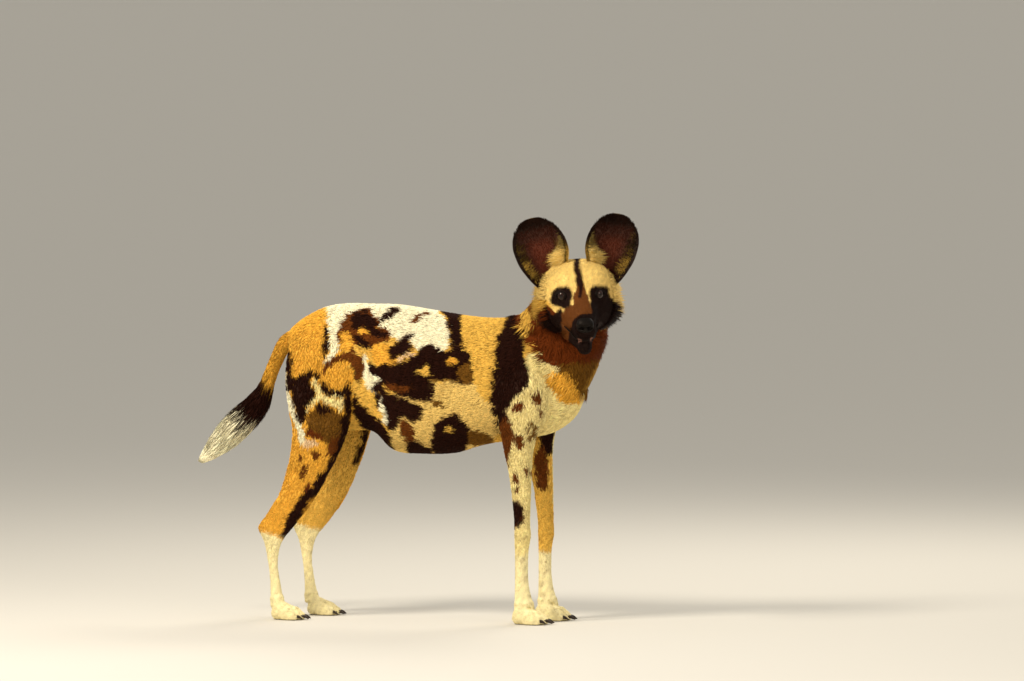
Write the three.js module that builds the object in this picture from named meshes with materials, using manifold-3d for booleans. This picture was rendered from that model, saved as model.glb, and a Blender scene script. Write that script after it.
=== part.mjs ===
// African wild dog standing square on, its head turned to its right over the shoulder line.
// Millimetres, +X ahead along the spine, +Y its left, +Z up, the floor at Z = 0.
import * as THREE from "three";
import { mergeVertices } from "three/addons/utils/BufferGeometryUtils.js";
import Module from "manifold-3d";

const wasm = await Module();
wasm.setup();

// Driving dimensions
const gap = 0.3; // between neighbouring pieces
const bodySides = 20; // facets round the trunk, neck and head
const legSides = 12;
const toeSides = 6;
const pawSides = 8;
const hipTrack = 70; // paw centre to the mid plane, hind
const shoulderTrack = 59; // paw centre to the mid plane, fore
const nearHindPaw = -352; // X of the back of each paw
const farHindPaw = -312;
const nearForePaw = 184;
const farForePaw = 204;
const headJoint = [315, -25, 701]; // where the skull meets the neck
const headTurn = -70; // degrees from the body's heading
const headDip = 13; // nose below the level, degrees
const headRoll = 3; // crown towards its right, degrees
const eyeRadius = 11.5;
const eyeCentre = [104, 38, 37]; // in the head's own frame, left eye
const earLength = 127;
const earThickness = 3;
const earRoot = [40, 56, 66]; // middle of the left ear's root in the head's own frame
const brushLocks = 34;
const brushCore = 0.52; // the brush's solid middle as a share of its full reach
const ruffLocks = 26;
const cheekLocks = 8; // on each side
const skullPower = 2.5; // squareness of the head's section, 2 for an ellipse

const degrees = THREE.MathUtils.degToRad;
const vector = (x, y, z) => new THREE.Vector3(x, y, z);

// Rows set between the given rows by a cubic through each column, over the length that the rows run.
function between(rows, steps) {
  const along = [0];
  for (let i = 1; i < rows.length; i++) {
    const stride = Math.hypot(...rows[i].map((value, k) => value - rows[i - 1][k]));
    along.push(along[i - 1] + stride);
  }
  const slope = (i, k) => {
    const before = Math.max(i - 1, 0);
    const after = Math.min(i + 1, rows.length - 1);
    return (rows[after][k] - rows[before][k]) / (along[after] - along[before]);
  };
  const fine = [];
  for (let i = 0; i + 1 < rows.length; i++) {
    const length = along[i + 1] - along[i];
    for (let step = 0; step < steps; step++) {
      const t = step / steps;
      const rise = t * t * (3 - 2 * t);
      fine.push(rows[i].map((value, k) =>
        value + (rows[i + 1][k] - value) * rise
        + slope(i, k) * length * t * (1 - t) * (1 - t)
        - slope(i + 1, k) * length * t * t * (1 - t)));
    }
  }
  fine.push(rows[rows.length - 1]);
  return fine;
}

// Closed surface over rings that hold the same number of points, each end closed by a strip across it.
function surfaceOver(rings) {
  const count = rings[0].length;
  const last = (rings.length - 1) * count;
  const faces = [];
  for (let i = 0; i + 1 < rings.length; i++) {
    for (let j = 0; j < count; j++) {
      const a = i * count + j;
      const b = i * count + (j + 1) % count;
      faces.push(a, b, b + count, a, b + count, a + count);
    }
  }
  for (let k = 0; k + 1 < count / 2; k++) {
    const m = count - 1 - k;
    faces.push(k + 1, k, m - 1, m - 1, k, m);
    faces.push(last + k, last + k + 1, last + m - 1, last + k, last + m - 1, last + m);
  }
  const corners = rings.flat();
  const volume = () => {
    let sum = 0;
    for (let i = 0; i < faces.length; i += 3) {
      const [p, q, r] = [corners[faces[i]], corners[faces[i + 1]], corners[faces[i + 2]]];
      sum += p.dot(q.clone().cross(r));
    }
    return sum;
  };
  if (volume() < 0) faces.reverse();
  const geometry = new THREE.BufferGeometry().setFromPoints(corners);
  geometry.setIndex(faces);
  return geometry;
}

// A geometry as a solid, and a solid as a geometry.
function solidOf(geometry) {
  const bare = geometry.clone();
  bare.deleteAttribute("normal");
  bare.deleteAttribute("uv");
  const merged = mergeVertices(bare, 1e-3);
  return new wasm.Manifold(new wasm.Mesh({
    numProp: 3,
    vertProperties: new Float32Array(merged.attributes.position.array),
    triVerts: new Uint32Array(merged.index.array),
  }));
}

function geometryOf(solid) {
  const mesh = solid.getMesh();
  const geometry = new THREE.BufferGeometry();
  geometry.setAttribute("position", new THREE.BufferAttribute(mesh.vertProperties, 3));
  geometry.setIndex(new THREE.BufferAttribute(mesh.triVerts, 1));
  return geometry;
}

// The largest closed surface of a solid, taken again once points that lie together are one.
function whole(solid) {
  const largest = (some) => some.decompose().sort((a, b) => b.volume() - a.volume())[0];
  return largest(solidOf(geometryOf(largest(solid))));
}

const joined = (solids) => solids.reduce((whole, piece) => whole.add(piece));
const cutBy = (solid, cutters) => cutters.reduce((left, cutter) => left.subtract(cutter), solid);
const moved = (solid, matrix) => solid.transform(matrix.elements);

// Ring of a trunk, limb or tail row: an oval in the plane of its two edge points and Y.
// A row is the upper or front edge point X Z, the lower or rear one X Z, the middle's Y, and half the width.
function oval([frontX, frontZ, rearX, rearZ, middleY, half], sides, grown, power) {
  const reach = Math.hypot(frontX - rearX, frontZ - rearZ) / 2;
  const widen = (reach + grown) / reach;
  const bulge = (value) => Math.sign(value) * Math.abs(value) ** (2 / power);
  return Array.from({ length: sides }, (_, k) => {
    const angle = (k + 0.5) / sides * 2 * Math.PI;
    const along = bulge(Math.sin(angle)) * widen;
    return vector(
      (frontX + rearX) / 2 + (frontX - rearX) / 2 * along,
      middleY + bulge(Math.cos(angle)) * (half + grown),
      (frontZ + rearZ) / 2 + (frontZ - rearZ) / 2 * along,
    );
  });
}

// Rows whose first and last stand further out along the run by these lengths, or further in where negative.
function reaching(rows, first, last) {
  const part = rows.map((row) => [...row]);
  const push = (row, next, distance) => {
    const stepX = (row[0] + row[2] - next[0] - next[2]) / 2;
    const stepZ = (row[1] + row[3] - next[1] - next[3]) / 2;
    const share = distance / Math.hypot(stepX, stepZ);
    [0, 2].forEach((k) => { row[k] += stepX * share; });
    [1, 3].forEach((k) => { row[k] += stepZ * share; });
  };
  push(part[0], rows[1], first);
  push(part[part.length - 1], rows[rows.length - 2], last);
  return part;
}

function loft(rows, sides, grown = 0, power = 2.2) {
  const rings = reaching(rows, grown, grown).map((row) => oval(row, sides, grown, power));
  return solidOf(surfaceOver(rings));
}

// One length of a limb or tail, whose ends stand back by half the gap where the next length begins.
function lengthOf(rows, sides, from, to) {
  const first = from > 0 ? -gap / 2 : 0;
  const last = to < rows.length - 1 ? -gap / 2 : 0;
  return loft(reaching(rows.slice(from, to + 1), first, last), sides);
}

// A row at a broken place between two rows.
function rowAt(rows, place) {
  const i = Math.min(Math.floor(place), rows.length - 2);
  return rows[i].map((value, k) => value + (rows[i + 1][k] - value) * (place - i));
}

// A point of an oval row's plane, at an angle from +Y and a share of the way out to its edge.
function ovalPoint([frontX, frontZ, rearX, rearZ, middleY, half], angle, share) {
  const along = Math.sin(angle) * share;
  return vector(
    (frontX + rearX) / 2 + (frontX - rearX) / 2 * along,
    middleY + Math.cos(angle) * half * share,
    (frontZ + rearZ) / 2 + (frontZ - rearZ) / 2 * along,
  );
}

// Four rings along a lock: the share of its length, width and thickness at each.
const lockRings = [
  [0, 0.7, 1],
  [0.32, 1, 1],
  [0.7, 0.75, 0.8],
  [1, 0.14, 0.3],
];

// A flat, tapered lock of hair. It leaves from inside the body, bends out to the coat's surface and lies along it.
// shares are how far out it is at its root, its middle and its tip.
function lock(pointAt, { from, run, angle, swing, shares, width, thickness }, grown = 0) {
  const centre = (t) => pointAt(from + run * t, angle + swing * t * t,
    shares[0] * (1 - t) * (1 - 2 * t) + shares[1] * 4 * t * (1 - t) + shares[2] * t * (2 * t - 1));
  return solidOf(surfaceOver(lockRings.map(([t, wide, thick]) => {
    const here = centre(t);
    const along = centre(t + 0.02).sub(centre(t - 0.02)).normalize();
    const bend = angle + swing * t * t;
    const out = pointAt(from + run * t, bend, 1.1).sub(pointAt(from + run * t, bend, 0.9));
    const side = along.clone().cross(out).normalize().multiplyScalar(width / 2 * wide + grown);
    const top = side.clone().cross(along).normalize().multiplyScalar(thickness / 2 * thick + grown);
    return [here.clone().add(side), here.clone().add(top), here.clone().sub(side), here.clone().sub(top)];
  })));
}

const goldenAngle = Math.PI * (3 - Math.sqrt(5));
const jitter = (reach) => (THREE.MathUtils.seededRandom() - 0.5) * 2 * reach;
THREE.MathUtils.seededRandom(11);

// Materials, one for each colour that a sub-part shows most
const colours = {
  coatBrown: 0x3a1c0c,
  coatOchre: 0xd79c38,
  coatCream: 0xeadfae,
  earDark: 0x2b1a12,
  eyeBrown: 0x3a1d08,
  noseBlack: 0x141110,
  clawDark: 0x2c2622,
};
const finish = Object.fromEntries(Object.entries(colours).map(([name, color]) => [
  name,
  new THREE.MeshStandardMaterial({ color, roughness: name === "eyeBrown" ? 0.15 : 0.85, metalness: 0 }),
]));

const dog = new THREE.Group();
function addPiece(name, solid, material, parent = dog) {
  const mesh = new THREE.Mesh(geometryOf(whole(solid)), finish[material]);
  mesh.name = name;
  parent.add(mesh);
}

// Trunk: top edge X Z, bottom edge X Z, Y, half the width
const trunkRows = between([
  [-334, 618, -322, 530, 0, 26],
  [-322, 636, -310, 480, 0, 56],
  [-292, 658, -285, 440, 0, 76],
  [-250, 678, -250, 418, 0, 85],
  [-205, 686, -205, 404, 0, 88],
  [-141, 686, -141, 402, 0, 90],
  [-85, 685, -92, 362, 0, 97],
  [-20, 676, -30, 356, 0, 104],
  [45, 666, 40, 359, 0, 105],
  [100, 660, 98, 376, 0, 100],
  [150, 660, 150, 386, 0, 94],
  [200, 668, 205, 394, 0, 86],
  [235, 672, 262, 408, 0, 77],
  [262, 656, 305, 440, 0, 62],
  [290, 620, 330, 490, 0, 38],
], 1);

// Neck: ring middle X Y Z, heading, climb, half width, half depth
const neckRows = between([
  [228, 3, 552, 0, 42, 73, 122],
  [270, 2, 602, -5, 45, 77, 107],
  [295, -3, 643, -15, 42, 80, 98],
  [308, -12, 671, -32, 34, 83, 90],
  [314, -25, 688, -50, 16, 82, 80],
  [323, -45, 697, -64, -4, 70, 68],
], 2);

function neckPoint([x, y, z, heading, climb, half, depth], angle, share) {
  const turn = new THREE.Euler(0, -degrees(climb), degrees(heading), "ZYX");
  return vector(0, half * Math.cos(angle) * share, depth * Math.sin(angle) * share)
    .applyEuler(turn).add(vector(x, y, z));
}

const neckRing = (row) => Array.from({ length: bodySides }, (_, k) =>
  neckPoint(row, (k + 0.5) / bodySides * 2 * Math.PI, 1));

// Ruff: locks round the sides and the throat, lying back from the head over the chest.
const ruff = Array.from({ length: ruffLocks }, (_, k) => lock(
  (place, angle, share) => neckPoint(rowAt(neckRows, place), angle, share),
  {
    from: 8.6 - 5.2 * (k + 0.5) / ruffLocks,
    run: -2.6 + jitter(0.4),
    angle: degrees(-90) + degrees(118) * (((k * goldenAngle / Math.PI) % 2) - 1),
    swing: jitter(0.18),
    shares: [0.78, 1.03, 1.08 + jitter(0.03)],
    width: 30,
    thickness: 10,
  },
));

// Hind leg: front edge X Z, rear edge X Z, Y, half the width; Y is a share of the track
const hindRows = [
  [-190, 634, -282, 640, 0.50, 16],
  [-162, 596, -314, 602, 0.70, 36],
  [-152, 544, -326, 552, 0.84, 43],
  [-160, 490, -325, 497, 0.90, 41],
  [-172, 440, -316, 452, 0.95, 37],
  [-186, 394, -309, 420, 1.00, 33],
  [-208, 342, -311, 378, 1.01, 29],
  [-240, 286, -322, 322, 1.01, 24],
  [-270, 238, -342, 268, 1.00, 19],
  [-300, 198, -370, 228, 1.00, 16],
  [-322, 172, -388, 201, 1.00, 16],
  [-332, 148, -374, 166, 1.00, 15],
  [-335, 118, -366, 120, 1.00, 14],
  [-330, 80, -361, 80, 1.00, 14],
  [-326, 52, -359, 48, 1.00, 16],
];
const kneeRow = 5;
const hockRow = 10;

// Foreleg rows, as for the hind leg
const foreRows = [
  [206, 610, 160, 606, 0.60, 16],
  [240, 570, 150, 566, 0.80, 27],
  [266, 520, 148, 518, 0.98, 37],
  [262, 450, 152, 445, 1.06, 36],
  [240, 408, 158, 396, 1.05, 32],
  [231, 368, 163, 366, 1.04, 28],
  [228, 320, 173, 320, 1.02, 25],
  [226, 262, 179, 262, 1.01, 22],
  [225, 215, 183, 215, 1.00, 20],
  [227, 188, 183, 188, 1.00, 21],
  [222, 160, 184, 158, 1.00, 19],
  [221, 110, 184, 108, 1.00, 18],
  [224, 75, 184, 72, 1.00, 18],
  [230, 50, 184, 46, 1.00, 20],
];
const elbowRow = 4;
const wristRow = 9;

// How far each leg's rows stand ahead of the table, growing from the body down to the paw.
const lead = (z, full, top, foot) => full * THREE.MathUtils.smoothstep(top - z, 0, top - foot);
function legRows(table, side, track, full, top, foot) {
  return table.map(([frontX, frontZ, rearX, rearZ, share, half]) => {
    const ahead = lead((frontZ + rearZ) / 2, full, top, foot);
    return [frontX + ahead, frontZ, rearX + ahead, rearZ, side * share * track, half];
  });
}

// Paw in a frame of its own: X from its back, Y from its middle; rows as for a limb.
const padRows = [
  [2, 30, -2, 8, 0, 13],
  [14, 44, 6, -3, 0, 21],
  [30, 42, 26, -4, 0, 26],
  [46, 34, 46, -4, 0, 26],
  [58, 24, 58, 0, 0, 20],
];
const toeRows = [
  [40, 30, 38, -3, 0.85, 8],
  [56, 29, 55, -4, 1.0, 10],
  [68, 22, 68, -4, 1.05, 9.5],
  [77, 14, 76, 1, 1.05, 6],
];
const clawRows = [
  [71, 13, 70, 6, 1.05, 2.8],
  [81, 11.5, 79, 5, 1.05, 2.3],
  [90, 4.5, 88.5, 2.5, 1.05, 0.8],
];
const toes = [
  { spread: -21, back: 11 },
  { spread: -7.5, back: 0 },
  { spread: 7.5, back: 0 },
  { spread: 21, back: 11 },
];

// Places a toe's or claw's row: its share of the spread becomes Y, and it stands back from the longest.
const onToe = (rows, toe) => rows.map(([a, b, c, d, share, half]) =>
  [a - toe.back, b, c - toe.back, d, share * toe.spread, half]);

function addPaw(name, ankle, pawX, pawY, size) {
  const frame = new THREE.Group();
  frame.position.set(pawX, pawY, 0);
  dog.add(frame);
  const sized = (rows) => rows.map((row) => row.map((value) => value * size));
  const pastern = [
    [ankle[0] - pawX, ankle[1], ankle[2] - pawX, ankle[3], ankle[4] - pawY, ankle[5]],
    [ankle[0] - pawX + 3, ankle[1] - 14, ankle[2] - pawX + 2, ankle[3] - 22, ankle[4] - pawY, ankle[5] + 2],
  ];
  const drop = gap / 2;
  [1, 3].forEach((k) => { pastern[0][k] -= drop; });
  const floor = new THREE.BoxGeometry(400, 400, 40).translate(0, 0, -20);
  const foot = joined([
    loft(pastern, legSides),
    loft(sized(padRows), pawSides),
    ...toes.map((toe) => loft(onToe(sized(toeRows), toe), toeSides)),
  ]);
  const claws = toes.map((toe) => loft(onToe(sized(clawRows), toe), toeSides));
  const sockets = toes.map((toe) => loft(onToe(sized(clawRows), toe), toeSides, gap));
  addPiece(name, cutBy(foot, [solidOf(floor), ...sockets]), "coatCream", frame);
  claws.forEach((claw, k) => addPiece(`${name}_claw_${k + 1}`, claw, "clawDark", frame));
}

// Tail: upper edge X Z, lower edge X Z, Y, half the width
const tailRows = [
  [-326, 628, -312, 590, 0, 14],
  [-356, 606, -334, 576, 0, 16],
  [-376, 566, -350, 548, 0, 16],
  [-392, 528, -363, 518, 0, 17],
  [-406, 498, -372, 484, 0, 19],
  [-424, 480, -376, 456, 0, 24],
  [-448, 462, -392, 426, -1, 30],
  [-480, 436, -422, 394, -2, 33],
  [-508, 402, -456, 362, -3, 29],
  [-528, 366, -494, 342, -4, 19],
  [-540, 336, -528, 330, -5, 5],
];
const tailRootEnd = 3;
const tailMiddleEnd = 5;

// Head in its own frame: X ahead from the skull joint, Y left, Z up. Rows as for the trunk.
const skullRows = between([
  [-20, 66, -20, -50, 0, 58],
  [10, 90, 8, -62, 0, 72],
  [42, 100, 42, -66, 0, 80],
  [72, 97, 72, -62, 0, 76],
  [94, 84, 94, -52, 0, 62],
  [110, 64, 112, -46, 0, 46],
  [124, 46, 128, -44, 0, 36],
  [146, 36, 150, -44, 0, 31],
  [174, 28, 176, -44, 0, 28],
  [198, 20, 198, -42, 0, 26],
  [208, 12, 207, -34, 0, 19],
], 2);
const jawSides = 12;
const lipRadius = 3.2;
const mouthLine = 1.6; // radius of the groove under the lip
const jawRows = [
  [24, -24, 24, -74, 0, 50],
  [70, -24, 66, -82, 0, 38],
  [110, -28, 108, -82, 0, 27],
  [150, -32, 150, -79, 0, 20],
  [185, -34, 184, -76, 0, 17],
  [198, -40, 195, -66, 0, 10],
];
const noseRows = [
  [196, 15, 196, -18, 0, 17],
  [206, 13, 206, -18, 0, 18.5],
  [214, 8, 213, -14, 0, 15],
  [218, 3, 217, -9, 0, 8],
];

const headFrame = new THREE.Group();
headFrame.position.set(...headJoint);
headFrame.rotation.set(degrees(headRoll), degrees(headDip), degrees(headTurn), "ZYX");
headFrame.updateMatrix();
dog.add(headFrame);

const mirrored = new THREE.Matrix4().makeScale(1, -1, 1);

// Long hair of the left cheek, lying back over the jaw's corner.
const cheekShapes = Array.from({ length: cheekLocks }, (_, k) => ({
  from: 7.6 - 1.6 * (k % 2) + jitter(0.3),
  run: -4.4 + jitter(0.5),
  angle: degrees(22 - 92 * (k + 0.5) / cheekLocks),
  swing: -0.12 + jitter(0.1),
  shares: [0.86, 1.04, 1.13 + jitter(0.03)],
  width: 19,
  thickness: 7,
}));
const onCheek = (place, angle, share) => ovalPoint(rowAt(skullRows, place), angle, share);
const cheek = (grown) => joined(cheekShapes.map((shape) => lock(onCheek, shape, grown)));

// Edge of the upper lip from the right corner of the mouth round to the left, X Y Z.
const lipLine = [
  [108, 36, -30],
  [130, 27, -35],
  [156, 23.5, -37],
  [180, 20.5, -37],
  [196, 12, -36],
  [203, 0, -35],
];
function lipTube(radius, drop, out) {
  const left = lipLine.map(([x, y, z]) => vector(x + out * 0.3, y + (y > 0 ? out : 0), z - drop));
  const right = left.slice(0, -1).map((p) => vector(p.x, -p.y, p.z)).reverse();
  const line = [...left, ...right];
  return solidOf(surfaceOver(line.map((p, i) => {
    const along = line[Math.min(i + 1, line.length - 1)].clone().sub(line[Math.max(i - 1, 0)]).setZ(0).normalize();
    const side = vector(along.y, -along.x, 0);
    return Array.from({ length: 6 }, (_, k) => {
      const angle = k / 6 * 2 * Math.PI;
      return p.clone().addScaledVector(side, Math.cos(angle) * radius)
        .add(vector(0, 0, Math.sin(angle) * radius));
    });
  })));
}
const sphere = (radius, [x, y, z]) =>
  solidOf(new THREE.SphereGeometry(radius, 14, 9).translate(x, y, z));

// Rim round the eye: a ring of small ovals, pinched to the corners so that it opens as an almond.
function lids(grown) {
  const turns = 12;
  const look = new THREE.Vector3(0.82, 0.55, 0.12).normalize();
  const acrossEye = vector(0, 0, 1).cross(look).normalize();
  const upEye = look.clone().cross(acrossEye);
  const rings = [];
  for (let i = 0; i < turns; i++) {
    const turn = i / turns * 2 * Math.PI;
    const out = acrossEye.clone().multiplyScalar(Math.cos(turn) * 12.5)
      .addScaledVector(upEye, Math.sin(turn) * 8.5);
    const middle = vector(...eyeCentre).addScaledVector(look, 6.5 + 1.5 * Math.cos(2 * turn)).add(out);
    const outward = out.clone().normalize();
    rings.push(Array.from({ length: 6 }, (_, k) => {
      const angle = k / 6 * 2 * Math.PI;
      return middle.clone().addScaledVector(outward, Math.cos(angle) * (3.2 + grown))
        .addScaledVector(look, Math.sin(angle) * (3.6 + grown));
    }));
  }
  return closedLoop(rings);
}

// A tube whose last ring joins its first.
function closedLoop(rings) {
  const count = rings[0].length;
  const faces = [];
  rings.forEach((_, i) => {
    const next = (i + 1) % rings.length;
    for (let j = 0; j < count; j++) {
      const other = (j + 1) % count;
      faces.push(i * count + j, next * count + j, next * count + other);
      faces.push(i * count + j, next * count + other, i * count + other);
    }
  });
  const geometry = new THREE.BufferGeometry().setFromPoints(rings.flat());
  geometry.setIndex(faces);
  const solid = solidOf(geometry);
  if (solid.volume() > 0) return solid;
  geometry.setIndex([...faces].reverse());
  return solidOf(geometry);
}

// Ear: crescents stacked from its root to its round tip.
// A row is the height share, half the width, the cup's depth, and how far it leans back.
const earRows = between([
  [-0.16, 30, 26, 0],
  [0.0, 41, 30, 0],
  [0.16, 50, 30, 1],
  [0.36, 58, 27, 3],
  [0.58, 59, 22, 7],
  [0.78, 50, 15, 12],
  [0.92, 31, 8, 17],
  [1.0, 12, 3, 20],
], 1);
const earSteps = 9; // points across each face of the cup

function ear(grown) {
  const rings = earRows.map(([share, half, cup, lean]) => {
    const tilt = degrees(-27 + 14 * Math.min(1, Math.max(0, share / 0.5)));
    const across = vector(-0.12, Math.cos(tilt), Math.sin(tilt)).normalize();
    const up = vector(-0.02, 0.31, 0.945).normalize();
    const ahead = across.clone().cross(up).normalize();
    if (ahead.x < 0) ahead.negate();
    const height = share * earLength - (share < 0 ? grown : 0);
    const middle = vector(...earRoot).addScaledVector(up, height).addScaledVector(ahead, -lean);
    const face = (depth, wide) => Array.from({ length: earSteps }, (_, k) => {
      const s = k / (earSteps - 1) * 2 - 1;
      return middle.clone().addScaledVector(across, s * wide)
        .addScaledVector(ahead, cup * (Math.abs(s) ** 2.2 - 0.5) - depth);
    });
    const front = face(-3 * grown, half - 0.8 + grown);
    const back = face(earThickness + grown, half + grown);
    return [...front, ...back.reverse()];
  });
  return solidOf(surfaceOver(rings));
}

const nostril = (side) => solidOf(surfaceOver(between([
  [206, -2, 206, -9, side * 7, 3],
  [214, 1, 214, -8, side * 8, 4.2],
  [222, 1, 222, -8, side * 9, 4.5],
], 1).map((row) => oval(row, 8, 0, 2))));

const eyes = [sphere(eyeRadius, eyeCentre), sphere(eyeRadius, [eyeCentre[0], -eyeCentre[1], eyeCentre[2]])];
const eyeSockets = [1, -1].map((side) =>
  sphere(eyeRadius + gap, [eyeCentre[0], side * eyeCentre[1], eyeCentre[2]]));
const earLeft = ear(0);
const earSocket = ear(2 * gap);
const lidLeft = lids(0);

const cheekLeft = cheek(0);
const head = cutBy(
  joined([
    loft(skullRows, bodySides, 0, skullPower),
    loft(jawRows, jawSides),
    lipTube(lipRadius, 0, 0),
    lidLeft,
    moved(lidLeft, mirrored),
    cheekLeft,
    moved(cheekLeft, mirrored),
  ]),
  [
    lipTube(mouthLine, lipRadius + 1, 1),
    loft(noseRows, 12, gap),
    ...eyeSockets,
    earSocket,
    moved(earSocket, mirrored),
  ],
);
addPiece("head", head, "coatOchre", headFrame);
addPiece("nose", cutBy(loft(noseRows, 12), [nostril(1), nostril(-1)]), "noseBlack", headFrame);
addPiece("eye_left", eyes[0], "eyeBrown", headFrame);
addPiece("eye_right", eyes[1], "eyeBrown", headFrame);
addPiece("ear_left", earLeft, "earDark", headFrame);
addPiece("ear_right", moved(earLeft, mirrored), "earDark", headFrame);

// Legs, each in lengths that meet at its joints
const legs = [
  { name: "hind_right", rows: legRows(hindRows, -1, hipTrack, 0, 560, 200), joint: kneeRow, end: hockRow,
    pawX: nearHindPaw, track: -hipTrack, size: 0.94, words: ["thigh", "shank", "metatarsus"] },
  { name: "hind_left", rows: legRows(hindRows, 1, hipTrack, 36, 560, 200), joint: kneeRow, end: hockRow,
    pawX: farHindPaw, track: hipTrack, size: 0.94, words: ["thigh", "shank", "metatarsus"] },
  { name: "fore_right", rows: legRows(foreRows, -1, shoulderTrack, 0, 560, 200), joint: elbowRow, end: wristRow,
    pawX: nearForePaw, track: -shoulderTrack, size: 1, words: ["shoulder", "forearm", "pastern"] },
  { name: "fore_left", rows: legRows(foreRows, 1, shoulderTrack, 21, 560, 200), joint: elbowRow, end: wristRow,
    pawX: farForePaw, track: shoulderTrack, size: 1, words: ["shoulder", "forearm", "pastern"] },
];
const uppers = [];
legs.forEach(({ name, rows, joint, end, pawX, track, size, words }) => {
  const last = rows.length - 1;
  uppers.push(loft(rows.slice(0, joint + 2), legSides, gap));
  addPiece(`${name}_${words[0]}`, lengthOf(rows, legSides, 0, joint), "coatBrown");
  addPiece(`${name}_${words[1]}`, lengthOf(rows, legSides, joint, end), "coatBrown");
  addPiece(`${name}_${words[2]}`, lengthOf(rows, legSides, end, last), "coatCream");
  addPaw(`${name}_paw`, rows[last], pawX, track, size);
});

// Tail in three lengths
addPiece("tail_root", lengthOf(tailRows, legSides, 0, tailRootEnd), "coatOchre");
addPiece("tail_middle", lengthOf(tailRows, legSides, tailRootEnd, tailMiddleEnd), "coatBrown");

// Brush: a core half as far out as the hair, and locks in layers that lie along the tail out to its outline.
const shrunk = ([frontX, frontZ, rearX, rearZ, middleY, half], share) => [
  frontX + (rearX - frontX) * (1 - share) / 2,
  frontZ + (rearZ - frontZ) * (1 - share) / 2,
  rearX + (frontX - rearX) * (1 - share) / 2,
  rearZ + (frontZ - rearZ) * (1 - share) / 2,
  middleY,
  half * share,
];
const brushRows = tailRows.slice(tailMiddleEnd);
const coreRows = brushRows.map((row, i) => shrunk(row, i === 0 ? 1 : brushCore));
const lastRow = brushRows.length - 1;
const brush = Array.from({ length: brushLocks }, (_, k) => {
  const from = 0.22 + 3.3 * (k + 0.5) / brushLocks;
  return lock((place, angle, share) => ovalPoint(rowAt(brushRows, place), angle, share), {
    from,
    run: Math.min(1.7 + jitter(0.25), lastRow - 0.05 - from),
    angle: k * goldenAngle,
    swing: jitter(0.25),
    shares: [0.3, 0.93, 1 + jitter(0.05)],
    width: 24,
    thickness: 8,
  });
});
addPiece("tail_brush", joined([loft(reaching(coreRows, -gap / 2, 0), legSides), ...brush]), "coatCream");

// Neck and trunk, parted by the pieces that meet them
const headHole = moved(
  joined([
    loft(skullRows, bodySides, gap, skullPower),
    loft(jawRows, jawSides, gap),
    cheek(gap),
    moved(cheek(gap), mirrored),
  ]),
  headFrame.matrix,
);
const neckLoft = joined([solidOf(surfaceOver(neckRows.map(neckRing))), ...ruff]);
const earHoles = [moved(earSocket, headFrame.matrix),
  moved(moved(earSocket, mirrored), headFrame.matrix)];
addPiece("neck", cutBy(neckLoft, [loft(trunkRows, bodySides, gap), ...uppers, headHole, ...earHoles]), "coatBrown");
const tailHole = loft(tailRows.slice(0, tailRootEnd + 1), legSides, gap);
addPiece("trunk", cutBy(loft(trunkRows, bodySides), [...uppers, tailHole]), "coatBrown");

// The origin is under the middle of the box round the whole dog.
const part = new THREE.Group();
part.add(dog);
const box = new THREE.Box3().setFromObject(part, true);
dog.position.set(-(box.min.x + box.max.x) / 2, -(box.min.y + box.max.y) / 2, -box.min.z);

export default part;
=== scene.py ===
import math

import bpy
import numpy as np
from mathutils import Matrix, Vector, kdtree


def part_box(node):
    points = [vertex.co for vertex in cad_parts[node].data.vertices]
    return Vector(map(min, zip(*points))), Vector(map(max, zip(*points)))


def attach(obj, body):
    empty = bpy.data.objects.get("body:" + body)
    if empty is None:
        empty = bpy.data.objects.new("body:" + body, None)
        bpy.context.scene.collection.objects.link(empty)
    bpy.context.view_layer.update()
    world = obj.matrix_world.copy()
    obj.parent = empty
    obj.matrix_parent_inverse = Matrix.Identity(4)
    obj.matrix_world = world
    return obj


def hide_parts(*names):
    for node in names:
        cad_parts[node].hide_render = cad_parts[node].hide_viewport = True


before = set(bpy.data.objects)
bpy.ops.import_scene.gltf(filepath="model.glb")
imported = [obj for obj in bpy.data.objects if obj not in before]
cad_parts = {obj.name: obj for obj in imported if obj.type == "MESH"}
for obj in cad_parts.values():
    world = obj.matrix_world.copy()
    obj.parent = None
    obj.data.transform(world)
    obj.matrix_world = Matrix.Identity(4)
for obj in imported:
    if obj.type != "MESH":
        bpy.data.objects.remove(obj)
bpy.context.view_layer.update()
drawSeed = 7
rng = np.random.default_rng(drawSeed)

# The dog's own frame: millimetres, nose towards +X before the head turns, +Z up, floor at 0.
mm = 0.001
tiny, huge = 1e-9, 1e9
fullTurn = 2 * math.pi
hipTrack = 70
shoulderTrack = 59
nearHindPaw, farHindPaw = -352, -312
nearForePaw, farForePaw = 184, 204
headJoint = np.array([315.0, -25.0, 701.0])
headTurn, headDip, headRoll = -70, 13, 3
eyeRadius = 11.5
eyeCentre = np.array([104.0, 38.0, 37.0])
earLength = 127
earRoot = np.array([40.0, 56.0, 66.0])

# How far the skin lies below the coat's outline, in mm.
trunkCoat, neckCoat, headCoat, legCoat, pawCoat, tailCoat = 5.5, 9, 3.0, 4.0, 2.2, 6

# Rows: front or top edge (x, z), rear or bottom edge (x, z), middle y, half width.
trunkRows = [
    [-334, 618, -322, 530, 0, 26], [-322, 636, -310, 480, 0, 56], [-292, 658, -285, 440, 0, 76],
    [-250, 678, -250, 418, 0, 85], [-205, 686, -205, 404, 0, 88], [-141, 686, -141, 402, 0, 90],
    [-85, 685, -92, 362, 0, 97], [-20, 676, -30, 356, 0, 104], [45, 666, 40, 359, 0, 105],
    [100, 660, 98, 376, 0, 100], [150, 660, 150, 386, 0, 94], [200, 668, 205, 394, 0, 86],
    [235, 672, 262, 408, 0, 77], [262, 656, 305, 440, 0, 62], [290, 620, 330, 490, 0, 38],
]
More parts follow.
